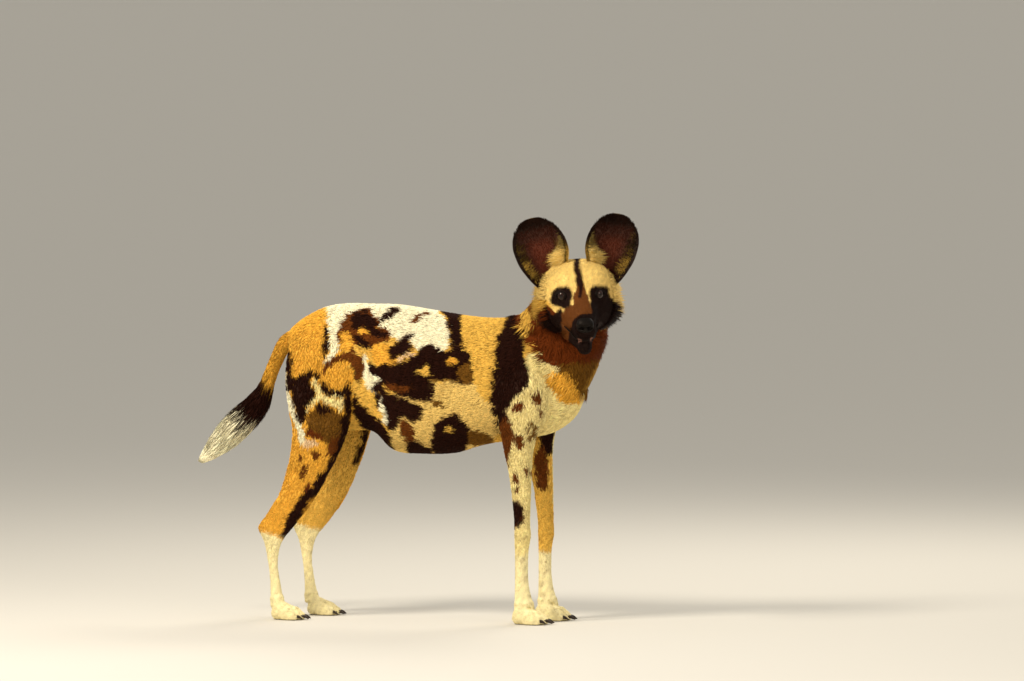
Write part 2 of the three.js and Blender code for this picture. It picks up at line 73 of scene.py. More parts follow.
# Rows: x, y, z, heading, climb, half width, half depth.
neckRows = [
    [228, 3, 552, 0, 42, 73, 122], [270, 2, 602, -5, 45, 77, 107], [295, -3, 643, -15, 42, 80, 98],
    [308, -12, 671, -32, 34, 83, 90], [314, -25, 688, -50, 16, 82, 80], [323, -45, 697, -64, -4, 70, 68],
]
# The y of a leg's row is a share of its track.
hindRows = [
    [-190, 634, -282, 640, .50, 16], [-162, 596, -314, 602, .70, 36], [-152, 544, -326, 552, .84, 43],
    [-160, 490, -325, 497, .90, 41], [-172, 440, -316, 452, .95, 37], [-186, 394, -309, 420, 1, 33],
    [-208, 342, -311, 378, 1.01, 29], [-240, 286, -322, 322, 1.01, 24], [-270, 238, -342, 268, 1, 19],
    [-300, 198, -370, 228, 1, 16], [-322, 172, -388, 201, 1, 16], [-332, 148, -374, 166, 1, 15],
    [-335, 118, -366, 120, 1, 14], [-330, 80, -361, 80, 1, 14], [-326, 52, -359, 48, 1, 16],
]
foreRows = [
    [206, 610, 160, 606, .60, 16], [240, 570, 150, 566, .80, 27], [266, 520, 148, 518, .98, 37],
    [262, 450, 152, 445, 1.06, 36], [240, 408, 158, 396, 1.05, 32], [231, 368, 163, 366, 1.04, 28],
    [228, 320, 173, 320, 1.02, 25], [226, 262, 179, 262, 1.01, 22], [225, 215, 183, 215, 1, 20],
    [227, 188, 183, 188, 1, 21], [222, 160, 184, 158, 1, 19], [221, 110, 184, 108, 1, 18],
    [224, 75, 184, 72, 1, 18], [230, 50, 184, 46, 1, 20],
]
padRows = [
    [2, 30, -2, 8, 0, 13], [14, 44, 6, -3, 0, 21], [30, 42, 26, -4, 0, 26],
    [46, 34, 46, -4, 0, 26], [58, 24, 58, 0, 0, 20],
]
toeRows = [
    [40, 30, 38, -3, .85, 8], [56, 29, 55, -4, 1, 10], [68, 22, 68, -4, 1.05, 9.5], [77, 14, 76, 1, 1.05, 6],
]
clawRows = [[71, 13, 70, 6, 1.05, 2.8], [81, 11.5, 79, 5, 1.05, 2.3], [90, 4.5, 88.5, 2.5, 1.05, .8]]
# Each toe's distance from the middle of its foot, and how far back it is.
toes = [(-21, 11), (-7.5, 0), (7.5, 0), (21, 11)]
tailRows = [
    [-326, 628, -312, 590, 0, 14], [-356, 606, -334, 576, 0, 16], [-376, 566, -350, 548, 0, 16],
    [-392, 528, -363, 518, 0, 17], [-406, 498, -372, 484, 0, 19], [-424, 480, -376, 456, 0, 24],
    [-448, 462, -392, 426, -1, 30], [-480, 436, -422, 394, -2, 33], [-508, 402, -456, 362, -3, 29],
    [-528, 366, -494, 342, -4, 19], [-540, 336, -528, 330, -5, 5],
]
# The head's rows are in the head's own frame, x from the neck joint to the nose.
skullRows = [
    [-20, 66, -20, -50, 0, 58], [10, 90, 8, -62, 0, 72], [42, 100, 42, -66, 0, 80], [72, 97, 72, -62, 0, 76],
    [94, 84, 94, -52, 0, 62], [110, 64, 112, -46, 0, 46], [124, 46, 128, -44, 0, 36],
    [146, 36, 150, -44, 0, 31], [174, 28, 176, -44, 0, 28], [198, 20, 198, -42, 0, 26],
    [208, 12, 207, -34, 0, 19],
]
jawRows = [
    [24, -24, 24, -74, 0, 50], [70, -24, 66, -82, 0, 38], [110, -28, 108, -82, 0, 27],
    [150, -32, 150, -79, 0, 20], [185, -34, 184, -76, 0, 17], [198, -40, 195, -66, 0, 10],
]
noseRows = [
    [196, 15, 196, -18, 0, 17], [206, 13, 206, -18, 0, 18.5],
    [214, 8, 213, -14, 0, 15], [218, 3, 217, -9, 0, 8],
]
lipLine = [[108, 36, -30], [130, 27, -35], [156, 23.5, -37], [180, 20.5, -37], [196, 12, -36], [203, 0, -35]]
# Rows of the ear: share of its height, half width, cup depth, lean.
earRows = [
    [-.16, 30, 26, 0], [0, 41, 30, 0], [.16, 50, 30, 1], [.36, 58, 27, 3], [.58, 59, 22, 7],
    [.78, 50, 15, 12], [.92, 31, 8, 17], [1, 12, 3, 20],
]


def turned(axis, angle):
    return np.array(Matrix.Rotation(math.radians(angle), 3, axis))


headTurned = turned("Z", headTurn) @ turned("Y", headDip) @ turned("X", headRoll)


def fromHead(points):
    return np.asarray(points) @ headTurned.T + headJoint


def toHead(points):
    return (points - headJoint) @ headTurned


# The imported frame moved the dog; its left eye says how far.
eyeLow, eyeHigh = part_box("eye_left")
shift = np.array((eyeLow + eyeHigh) / 2) / mm - fromHead(eyeCentre)
shift[2] = 0


def inRow(points):
    return (np.asarray(points) + shift) * mm


# Smooth rows: each column is a cubic through the rows, over their summed distance.
def rowsAt(rows, places):
    rows = np.array(rows, float)
    at = np.concatenate([[0], np.cumsum(np.linalg.norm(np.diff(rows, axis=0), axis=1))])
    here = np.arange(len(rows))
    before, after = np.maximum(here - 1, 0), np.minimum(here + 1, len(rows) - 1)
    slopes = (rows[after] - rows[before]) / (at[after] - at[before])[:, None]
    k = np.minimum(np.asarray(places, int), len(rows) - 2)
    t = (np.asarray(places) - k)[:, None]
    span = (at[k + 1] - at[k])[:, None]
    return (
        (1 + 2 * t) * (1 - t) ** 2 * rows[k] + t * (1 - t) ** 2 * span * slopes[k]
        + t * t * (3 - 2 * t) * rows[k + 1] - t * t * (1 - t) * span * slopes[k + 1]
    )


# How square the cross sections are: 2 is an ellipse, and more is fuller at the corners.
bodyPower, headPower, nosePower, clawPower = 2.2, 2.5, 2.6, 2.0
thinnest = 0.35


def bulge(value, power):
    return np.sign(value) * np.abs(value) ** (2 / power)


# A ring between a row's two edges: a superellipse, drawn in by the coat's depth.
def oval(rows, angles, coat, power):
    front, rear = rows[:, [0, 1]], rows[:, [2, 3]]
    middle, along = (front + rear) / 2, (front - rear) / 2
    reach = np.linalg.norm(along, axis=1, keepdims=True)
    along = along / np.maximum(reach, tiny)
    depth = np.maximum(reach - coat, reach * thinnest) * bulge(np.cos(angles), power)[None]
    width = np.maximum(rows[:, 5:6] - coat, rows[:, 5:6] * thinnest) * bulge(np.sin(angles), power)[None]
    return np.stack([
        middle[:, 0:1] + along[:, 0:1] * depth,
        rows[:, 4:5] + width,
        middle[:, 1:2] + along[:, 1:2] * depth,
    ], axis=2)


# A ring round each of the neck's rows, turned by its heading and tipped by its climb.
def neckRings(rows, angles, coat):
    heading, climb = np.radians(rows[:, 3:4]), np.radians(rows[:, 4:5])
    side = (rows[:, 5:6] - coat) * bulge(np.cos(angles), bodyPower)[None]
    rise = (rows[:, 6:7] - coat) * bulge(np.sin(angles), bodyPower)[None]
    return np.stack([
        rows[:, 0:1] - np.sin(heading) * side - np.sin(climb) * np.cos(heading) * rise,
        rows[:, 1:2] + np.cos(heading) * side - np.sin(climb) * np.sin(heading) * rise,
        rows[:, 2:3] + np.cos(climb) * rise,
    ], axis=2)


def gridFaces(count, sides):
    i, j = np.meshgrid(np.arange(count - 1), np.arange(sides), indexing="ij")
    a, b = i * sides + j, i * sides + (j + 1) % sides
    return np.stack([a, b, b + sides, a + sides], axis=2).reshape(-1, 4)


# A closed surface over rings: quads between them, and a fan to the middle of each end ring.
def closedSurface(rings):
    count, sides = rings.shape[:2]
    points = np.concatenate([rings.reshape(-1, 3), rings[0].mean(0)[None], rings[-1].mean(0)[None]])
    quads = gridFaces(count, sides)
    j = np.arange(sides)
    start = np.stack([(j + 1) % sides, j, np.full(sides, count * sides)], 1)
    last = (count - 1) * sides
    end = np.stack([last + j, last + (j + 1) % sides, np.full(sides, count * sides + 1)], 1)
    triangles = np.concatenate([quads[:, [0, 1, 2]], quads[:, [0, 2, 3]], start, end])
    t = points[triangles]
    volume = np.einsum("ij,ij->i", t[:, 0], np.cross(t[:, 1], t[:, 2])).sum()
    return points, triangles if volume > 0 else triangles[:, ::-1]


# A mesh from whole arrays, in the row frame; colours are per point, uv per corner's point.
def meshObject(name, points, triangles, colours=None, uv=None):
    mesh = bpy.data.meshes.new(name)
    mesh.vertices.add(len(points))
    mesh.vertices.foreach_set("co", inRow(points).astype(np.float32).ravel())
    mesh.loops.add(triangles.size)
    mesh.loops.foreach_set("vertex_index", triangles.ravel().astype(np.int32))
    mesh.polygons.add(len(triangles))
    mesh.polygons.foreach_set("loop_start", np.arange(len(triangles), dtype=np.int32) * 3)
    mesh.polygons.foreach_set("use_smooth", np.ones(len(triangles), bool))
    mesh.update(calc_edges=True)
    if colours is not None:
        setColours(mesh, colours)
    if uv is not None:
        layer = mesh.uv_layers.new(name="OFBake")
        layer.data.foreach_set("uv", uv[triangles.ravel()].astype(np.float32).ravel())
    made = bpy.data.objects.new(name, mesh)
    bpy.context.scene.collection.objects.link(made)
    return made


def setColours(mesh, colours):
    layer = mesh.color_attributes.new("coat", "FLOAT_COLOR", "POINT")
    full = np.concatenate([colours, np.ones((len(colours), 1))], 1)
    layer.data.foreach_set("color", full.astype(np.float32).ravel())


# Smooth noise: a sum of waves in seeded directions, about -1 to 1.
waves = {"count": 7, "scale": (0.7, 1.5), "phase": (0, 6.28), "level": 3.2}


def noise(points, size, seed):
    draws = np.random.default_rng(seed)
    total = np.zeros(len(points))
    for _ in range(waves["count"]):
        direction = draws.normal(size=3)
        direction /= np.linalg.norm(direction)
        scale, phase = draws.uniform(*waves["scale"]), draws.uniform(*waves["phase"])
        total += np.sin(points @ direction * (fullTurn / size) * scale + phase)
    return total / waves["level"]


def waved(points, height, size, seed, stretch=1):
    return height * noise(points * np.array(stretch), size, seed)


# The sRGB curve, from a colour of 0 to 255 to linear light.
srgb = {"knee": 0.04045, "slope": 12.92, "offset": 0.055, "power": 2.4}


def linear(colour):
    value = np.array(colour, float) / 255
    curve = ((value + srgb["offset"]) / (1 + srgb["offset"])) ** srgb["power"]
    return np.where(value <= srgb["knee"], value / srgb["slope"], curve)


def toward(colours, colour, share):
    return colours + (linear(colour) - colours) * share[:, None]


# An eased step from 0 at low to 1 at high.
def eased(value, low, high):
    t = np.clip((value - low) / (high - low), 0, 1)
    return t * t * (3 - 2 * t)


# The coat's colours, 0 to 255.
ochre = (236, 174, 62)
tan = (230, 182, 80)
faceCream = (244, 208, 122)
backWhite = (248, 238, 200)
chestCream = (246, 224, 152)
sockCream = (244, 228, 172)
darkBrown = (36, 13, 5)
midBrown = (104, 54, 16)
ruffBrown = (104, 46, 12)
oliveBrown = (112, 74, 22)
flankCream = (232, 196, 112)
muzzleBrown = (104, 58, 22)
maskBlack = (24, 9, 4)
pinkCream = (236, 200, 152)
lipPink = (172, 122, 104)

# The near side's markings are drawn in the plane that faces the camera, in steps of markStep mm,
# across from the dog's origin and down from markTop steps above the floor.
cameraAzimuth, cameraRise = 15, 3
azimuth, rise = math.radians(cameraAzimuth), math.radians(cameraRise)
level = math.cos(rise)
toCamera = np.array([math.sin(azimuth) * level, -math.cos(azimuth) * level, math.sin(rise)])
cameraRight = np.array([math.cos(azimuth), math.sin(azimuth), 0])
cameraUp = np.cross(toCamera, cameraRight)
markStep = 2.16
markLeft, markTop = 438, 620

# A marking is a colour and its outline: across and down of one corner after another.
bodyMarks = [
    (ochre, [262, 300, 326, 306, 333, 322, 328, 352, 324, 378, 300, 372, 270, 380]),
    (darkBrown, [327, 326, 332, 325, 333, 332, 330, 340, 331, 348, 327, 354, 323, 351, 325, 342]),
    (backWhite, [329, 306, 336, 298, 400, 296, 436, 298, 440, 308, 447, 318, 452, 326, 456, 336, 452, 346,
        446, 352, 428, 352, 418, 349, 411, 340, 400, 343, 385, 330, 360, 316, 346, 326, 341, 346, 334, 360,
        322, 365, 333, 346, 332, 322]),
    (midBrown, [358, 311, 370, 309, 378, 316, 385, 322, 381, 326, 392, 330, 398, 336, 393, 341, 385, 344,
        380, 348, 372, 348, 357, 344, 350, 348, 343, 347, 339, 342, 342, 330, 346, 321, 352, 315]),
    (darkBrown, [356, 314, 368, 311, 377, 318, 382, 325, 378, 330, 392, 332, 395, 337, 380, 337, 366, 328,
        356, 330, 354, 322]),
    (ochre, [345, 334, 353, 332, 358, 339, 356, 350, 347, 350, 342, 344]),
    (ochre, [362, 329, 369, 328, 373, 333, 368, 337, 362, 335]),
    (darkBrown, [357, 334, 364, 337, 374, 346, 384, 347, 374, 351, 362, 345]),
    (darkBrown, [382, 320, 390, 313, 396, 310, 405, 309, 401, 314, 394, 319, 387, 322]),
    (midBrown, [414, 322, 420, 316, 427, 313, 434, 315, 427, 319, 421, 324]),
    (ochre, [376, 346, 388, 344, 396, 350, 402, 360, 398, 369, 386, 369, 376, 362]),
    (darkBrown, [391, 352, 400, 345, 404, 340, 410, 335, 418, 336, 413, 343, 419, 349, 412, 354, 404, 359,
        395, 359]),
    (pinkCream, [400, 360, 410, 355, 419, 352, 421, 355, 411, 361, 402, 364]),
    (flankCream, [392, 392, 420, 392, 440, 380, 478, 380, 500, 378, 502, 444, 475, 446, 455, 460, 396, 460,
        392, 430]),
    (darkBrown, [370, 364, 378, 366, 390, 365, 402, 365, 412, 361, 420, 355, 425, 349, 434, 345, 441, 347,
        447, 352, 458, 348, 465, 345, 472, 349, 479, 353, 474, 360, 476, 372, 478, 381, 468, 385, 455, 380,
        441, 378, 437, 383, 439, 393, 434, 400, 426, 401, 412, 398, 398, 392, 384, 384, 374, 380,
        368, 372]),
    (oliveBrown, [462, 366, 472, 362, 475, 372, 477, 381, 468, 384, 461, 376]),
    (tan, [424, 366, 431, 364, 434, 371, 436, 378, 428, 378, 424, 373]),
    (ochre, [450, 362, 457, 358, 462, 361, 458, 366, 451, 368]),
    (midBrown, [388, 384, 400, 383, 416, 386, 420, 389, 404, 392, 392, 389]),
    (darkBrown, [377, 382, 384, 383, 389, 392, 398, 395, 409, 398, 411, 403, 421, 403, 427, 410, 424, 420,
        414, 421, 408, 416, 402, 420, 398, 434, 391, 430, 385, 415, 382, 400]),
    (midBrown, [404, 421, 412, 420, 419, 431, 418, 444, 409, 441, 403, 431]),
    (darkBrown, [410, 441, 420, 439, 428, 445, 438, 446, 435, 458, 417, 458, 409, 450]),
    (oliveBrown, [433, 404, 440, 400, 450, 401, 447, 408, 438, 409]),
    (darkBrown, [436, 298, 450, 298, 466, 298, 465, 330, 467, 345, 460, 350, 453, 342, 456, 335, 450, 330,
        453, 325, 448, 317, 442, 311]),
    (tan, [465, 294, 520, 294, 513, 314, 504, 328, 500, 345, 499, 378, 496, 402, 484, 398, 478, 378,
        475, 356, 466, 342]),
    (darkBrown, [437, 428, 440, 421, 450, 417, 458, 413, 464, 416, 466, 423, 473, 427, 475, 436, 471, 446,
        464, 456, 448, 462, 438, 460, 435, 442]),
    (oliveBrown, [470, 428, 481, 430, 496, 434, 499, 442, 484, 446, 472, 441]),
    (tan, [446, 428, 454, 425, 460, 428, 452, 431]),
    (darkBrown, [516, 300, 530, 303, 526, 322, 526, 345, 527, 360, 530, 371, 531, 385, 522, 391, 514, 393,
        510, 401, 506, 410, 511, 420, 506, 432, 499, 430, 494, 402, 496, 380, 498, 360, 499, 345, 503, 333,
        512, 318]),
    (chestCream, [528, 352, 560, 352, 600, 380, 600, 470, 520, 520, 514, 440, 508, 412, 512, 398, 520, 391,
        530, 384]),
    (ruffBrown, [513, 399, 523, 397, 526, 404, 520, 410, 513, 409]),
    (midBrown, [531, 391, 537, 387, 542, 390, 541, 400, 534, 402]),
    (midBrown, [537, 407, 542, 406, 544, 412, 540, 416]),
    (oliveBrown, [526, 424, 532, 418, 538, 424, 536, 438, 528, 440]),
    (chestCream, [529, 426, 532, 423, 534, 428, 532, 434, 529, 433]),
    (ochre, [556, 366, 576, 372, 586, 400, 566, 402, 552, 386]),
]
# The last of them lie on the chest and go on up the neck.
chestMarks = bodyMarks[-9:]
neckMarksAndPaintedShade = [
    (ruffBrown, [515, 300, 640, 290, 640, 340, 600, 366, 556, 362, 528, 354, 524, 330]),
    (tan, [526, 306, 534, 303, 536, 318, 531, 336, 526, 344, 524, 324]),
    # The olive brown on the chest front: part the chest's own brown and part painted shade where the chest
    # turns away from the light.
    (oliveBrown, [556, 358, 612, 352, 604, 384, 590, 410, 566, 402, 560, 380]),
    (ochre, [552, 366, 572, 366, 582, 392, 570, 410, 552, 392]),
    # The dark patch under the right of the face: part dark fur and part painted shadow of the head.
    (darkBrown, [604, 330, 622, 310, 634, 312, 626, 340, 610, 362, 602, 350]),
]
hindMarksAndPaintedLight = [
    # A white stripe down the back of the near thigh: part white coat and part painted highlight.
    (backWhite, [285, 352, 290, 354, 288, 372, 291, 390, 295, 404, 301, 420, 308, 438, 303, 446, 296, 426,
        289, 408, 284, 390, 281, 368]),
    (darkBrown, [288, 345, 293, 352, 292, 362, 294, 375, 298, 388, 291, 393, 286, 384, 286, 366]),
    (darkBrown, [294, 380, 299, 374, 308, 370, 322, 371, 320, 375, 309, 377, 311, 384, 317, 388, 317, 396,
        308, 403, 306, 412, 305, 420, 299, 420, 296, 408, 292, 396]),
    (midBrown, [319, 372, 331, 357, 345, 349, 362, 350, 366, 362, 366, 376, 362, 384, 356, 362, 344, 357,
        334, 363, 326, 373]),
    (darkBrown, [320, 378, 328, 384, 336, 390, 346, 386, 351, 378, 352, 390, 344, 395, 332, 396, 323, 391]),
    (chestCream, [310, 379, 320, 378, 322, 388, 328, 394, 338, 396, 346, 394, 346, 406, 340, 412, 333, 403,
        324, 398, 316, 401, 308, 409, 305, 406, 312, 399, 318, 394, 316, 386]),
    (oliveBrown, [308, 410, 318, 404, 330, 404, 347, 412, 346, 436, 334, 446, 320, 438, 307, 432]),
    (darkBrown, [317, 402, 328, 401, 334, 406, 328, 412, 318, 410]),
    (pinkCream, [305, 437, 316, 436, 323, 439, 316, 445, 304, 448]),
    (ruffBrown, [307, 428, 316, 430, 326, 436, 318, 438, 308, 434]),
    (midBrown, [302, 467, 310, 463, 308, 470, 306, 478, 302, 480]),
    (midBrown, [312, 451, 319, 448, 322, 455, 315, 461]),
    (ruffBrown, [305, 486, 310, 480, 313, 486, 306, 496]),
    (midBrown, [298, 454, 304, 452, 303, 459, 299, 461]),
    (midBrown, [328, 440, 342, 430, 344, 446, 334, 458, 328, 452]),
    # The long dark stripe down the front edge of the near thigh and gaskin: part coat marking and part
    # painted shade on the leg's front edge, which is turned away from the light.
    (darkBrown, [347, 380, 353, 388, 353, 405, 350, 427, 346, 450, 338, 471, 322, 489, 306, 506, 297, 526,
        287, 541, 280, 540, 286, 522, 297, 501, 314, 482, 329, 465, 338, 446, 343, 424, 345, 402]),
]
# The flank fold: coat colours, and dark lines along the crease between thigh and belly that are painted shade
# in the crease.
flankFoldMarksAndPaintedShade = [
    (tan, [352, 350, 368, 352, 376, 392, 366, 392, 358, 380]),
    (darkBrown, [356, 352, 362, 356, 366, 378, 362, 384, 356, 372]),
    (backWhite, [364, 352, 370, 354, 372, 376, 384, 379, 380, 384, 386, 404, 392, 426, 386, 424, 380, 400,
        370, 386, 364, 374]),
    (darkBrown, [376, 384, 384, 386, 384, 402, 380, 410, 377, 398]),
    (tan, [360, 386, 372, 388, 378, 404, 374, 412, 364, 402]),
    (darkBrown, [356, 390, 362, 402, 372, 414, 388, 428, 398, 444, 397, 456, 386, 444, 370, 432, 360, 420,
        354, 404]),
]
foreMarks = [
    (midBrown, [500, 424, 506, 414, 513, 422, 513, 446, 504, 470, 498, 456]),
    (midBrown, [514, 434, 520, 430, 525, 436, 522, 447, 514, 444]),
    (midBrown, [512, 470, 518, 468, 519, 478, 513, 480]),
    (midBrown, [525, 466, 531, 466, 530, 474, 525, 474]),
    (midBrown, [516, 484, 521, 486, 519, 492, 515, 490]),
    (darkBrown, [509, 498, 521, 500, 524, 520, 514, 528, 508, 514]),
]
farForeMarks = [
    (chestCream, [530, 340, 570, 360, 560, 430, 536, 430, 530, 400]),
    (darkBrown, [540, 430, 556, 428, 560, 446, 548, 454, 540, 446]),
    (midBrown, [533, 446, 548, 446, 548, 490, 536, 492]),
]
farHindMarks = [
    (darkBrown, [360, 420, 368, 428, 366, 446, 356, 464, 352, 462, 362, 440]),
]
headMarksAndPaintedShade = [
    (tan, [520, 300, 552, 300, 556, 330, 540, 345, 522, 340]),
    (ruffBrown, [540, 308, 552, 304, 560, 330, 560, 370, 518, 360, 524, 338, 536, 328]),
    (maskBlack, [542, 303, 548, 310, 554, 317, 560, 308, 565, 320, 565, 336, 556, 340, 549, 334, 543, 322]),
    (muzzleBrown, [562, 310, 572, 304, 578, 318, 578, 352, 564, 352, 561, 336]),
    # The black to the right of the face and below the jaw: part dark fur and part painted shadow of the head.
    (maskBlack, [611, 316, 640, 314, 640, 372, 604, 372, 606, 350, 616, 336]),
    (maskBlack, [590, 294, 600, 296, 608, 296, 608, 298, 616, 301, 620, 316, 617, 334, 608, 350, 592, 358,
        588, 330]),
    (maskBlack, [550, 300, 552, 293, 560, 288, 571, 288, 571, 300, 567, 310, 556, 308]),
    (maskBlack, [588, 290, 594, 287, 603, 287, 609, 294, 613, 308, 600, 316, 592, 308]),
    (muzzleBrown, [575, 284, 583, 284, 588, 298, 592, 320, 572, 320, 570, 316, 573, 300]),
    (darkBrown, [574, 252, 577, 252, 579, 268, 582, 284, 581, 298, 578, 299, 576, 284, 574, 268]),
    (ruffBrown, [549, 334, 566, 336, 568, 352, 560, 368, 540, 362, 540, 344]),
    (maskBlack, [572, 318, 594, 312, 600, 334, 598, 370, 568, 370, 568, 340]),
]
# The pale front of the lower lip, on the muzzle's tip alone.
lipMarks = [
    (lipPink, [574, 339, 579, 338, 581, 342, 576, 344]),
    (lipPink, [588, 338, 593, 336, 595, 340, 590, 343]),
]

# Lengths of the markings are in steps: how the corners are cut, how far off a marking is read, and the brown
# rim round dark markings on pale hair.
marking = {
    "cuts": 2, "cut": 0.25, "reach": 6, "beyond": 99.0, "soft": 1.2, "neckSoft": 1.4,
    "rim": 0.55, "rimPale": (0.03, 0.15), "rimEdge": (0.2, 2.4),
}


# The corners of a marking cut off, so that its outline is rounded.
def rounded(corners):
    points = np.array(corners, float).reshape(-1, 2)
    cut = marking["cut"]
    for _ in range(marking["cuts"]):
        following = np.roll(points, -1, 0)
        pairs = [points * (1 - cut) + following * cut, points * cut + following * (1 - cut)]
        points = np.stack(pairs, 1).reshape(-1, 2)
    return points


# Signed distance to a marking's outline, in steps, negative inside.
def markDistance(flat, corners):
    outline = rounded(corners)
    distance = np.full(len(flat), marking["beyond"])
    reach = marking["reach"]
    near = np.all((flat > outline.min(0) - reach) & (flat < outline.max(0) + reach), axis=1)
    p = flat[near]
    best = np.full(len(p), huge)
    inside = np.zeros(len(p), bool)
    for a, b in zip(outline, np.roll(outline, -1, 0)):
        ab, ap = b - a, p - a
        t = np.clip(ap @ ab / max(ab @ ab, tiny), 0, 1)
        best = np.minimum(best, ((ap - t[:, None] * ab) ** 2).sum(1))
        if a[1] != b[1]:
            crosses = (a[1] > p[:, 1]) != (b[1] > p[:, 1])
            inside ^= crosses & (p[:, 0] < (b[0] - a[0]) * (p[:, 1] - a[1]) / (b[1] - a[1]) + a[0])
    distance[near] = np.where(inside, -1, 1) * np.sqrt(best)
    return distance


def painted(colours, flat, marks, jag, softness):
    for colour, corners in marks:
        distance = markDistance(flat, corners) + jag
        if colour in (darkBrown, maskBlack):
            pale = eased(colours.mean(1), *marking["rimPale"])
            rim = marking["rim"] * pale * (1 - eased(distance, *marking["rimEdge"]))
            colours = toward(colours, midBrown, rim)
        colours = toward(colours, colour, 1 - eased(distance, -softness, softness))
    return colours


def inMarkPlane(points):
    return np.stack([
        markLeft + points @ cameraRight / markStep,
        markTop - points @ cameraUp / markStep,
    ], 1)


# Parts of the coat, by the nearest loft.
trunkPart, neckPart, headPart, hindPart, forePart, tailPart = 0, 1, 2, 3, 4, 5

# Noises of the coat: height, size in mm, seed and, where it has one, stretch.
coatNoise = {
    "fineJag": (1.25, 8, 11, (0.3, 1.2, 1.6)), "jag": (1.2, 26, 12, (0.5, 1, 1.3)),
    "across": (0.8, 40, 31), "down": (0.8, 40, 32), "track": (5, 60, 23),
    "slideX": (22, 260, 21), "slideZ": (26, 230, 22),
    "blotch": (1, 95, 41, (1, 1.4, 0.8)), "fineBlotch": (0.15, 18, 42),
    "freckle": (1, 22, 43), "mottle": (0.10, 14, 51),
}
# Where the far side's markings begin to slide, how much and how far, in mm.
slide = {"away": (5, 75), "high": (300, 520), "least": 0.15, "mean": 58}
blotchEdge, outerTrack = (0.3, 0.5), -2
# Socks slant down to the front at the hock; all in mm.
sockSizes = {"slant": 0.35, "hock": 182, "hockBack": 340, "farRise": 22, "wrist": 150, "edge": 6, "jag": 2.5}
freckles = {"edge": (0.7, 1.0), "from": (30, 60), "top": 240, "share": 0.3}
soleEdge = (0.8, 2.2)
neckBlotches = {"tilt": 0.4, "middle": 300, "edge": (-10, 50), "size": 125, "jag": 0.08, "soft": 0.25}
neckColours = ((tan, 0.25, 71), (darkBrown, 0.45, 72))
faceSizes = {
    "jag": 0.45, "soft": 0.7, "tip": 178, "lipJag": 0.2, "lipSoft": 0.5,
    "napeHalf": 24, "napeJag": 4, "napeEdge": 12, "behind": (18, 46),
}
# The tail's bands begin at these distances down its slope, in mm.
tailBands = {"back": 0.62, "down": 0.78, "jag": 4, "edge": 9, "starts": ((darkBrown, -172), (backWhite, -92))}
colourRange = (0.002, 0.98)


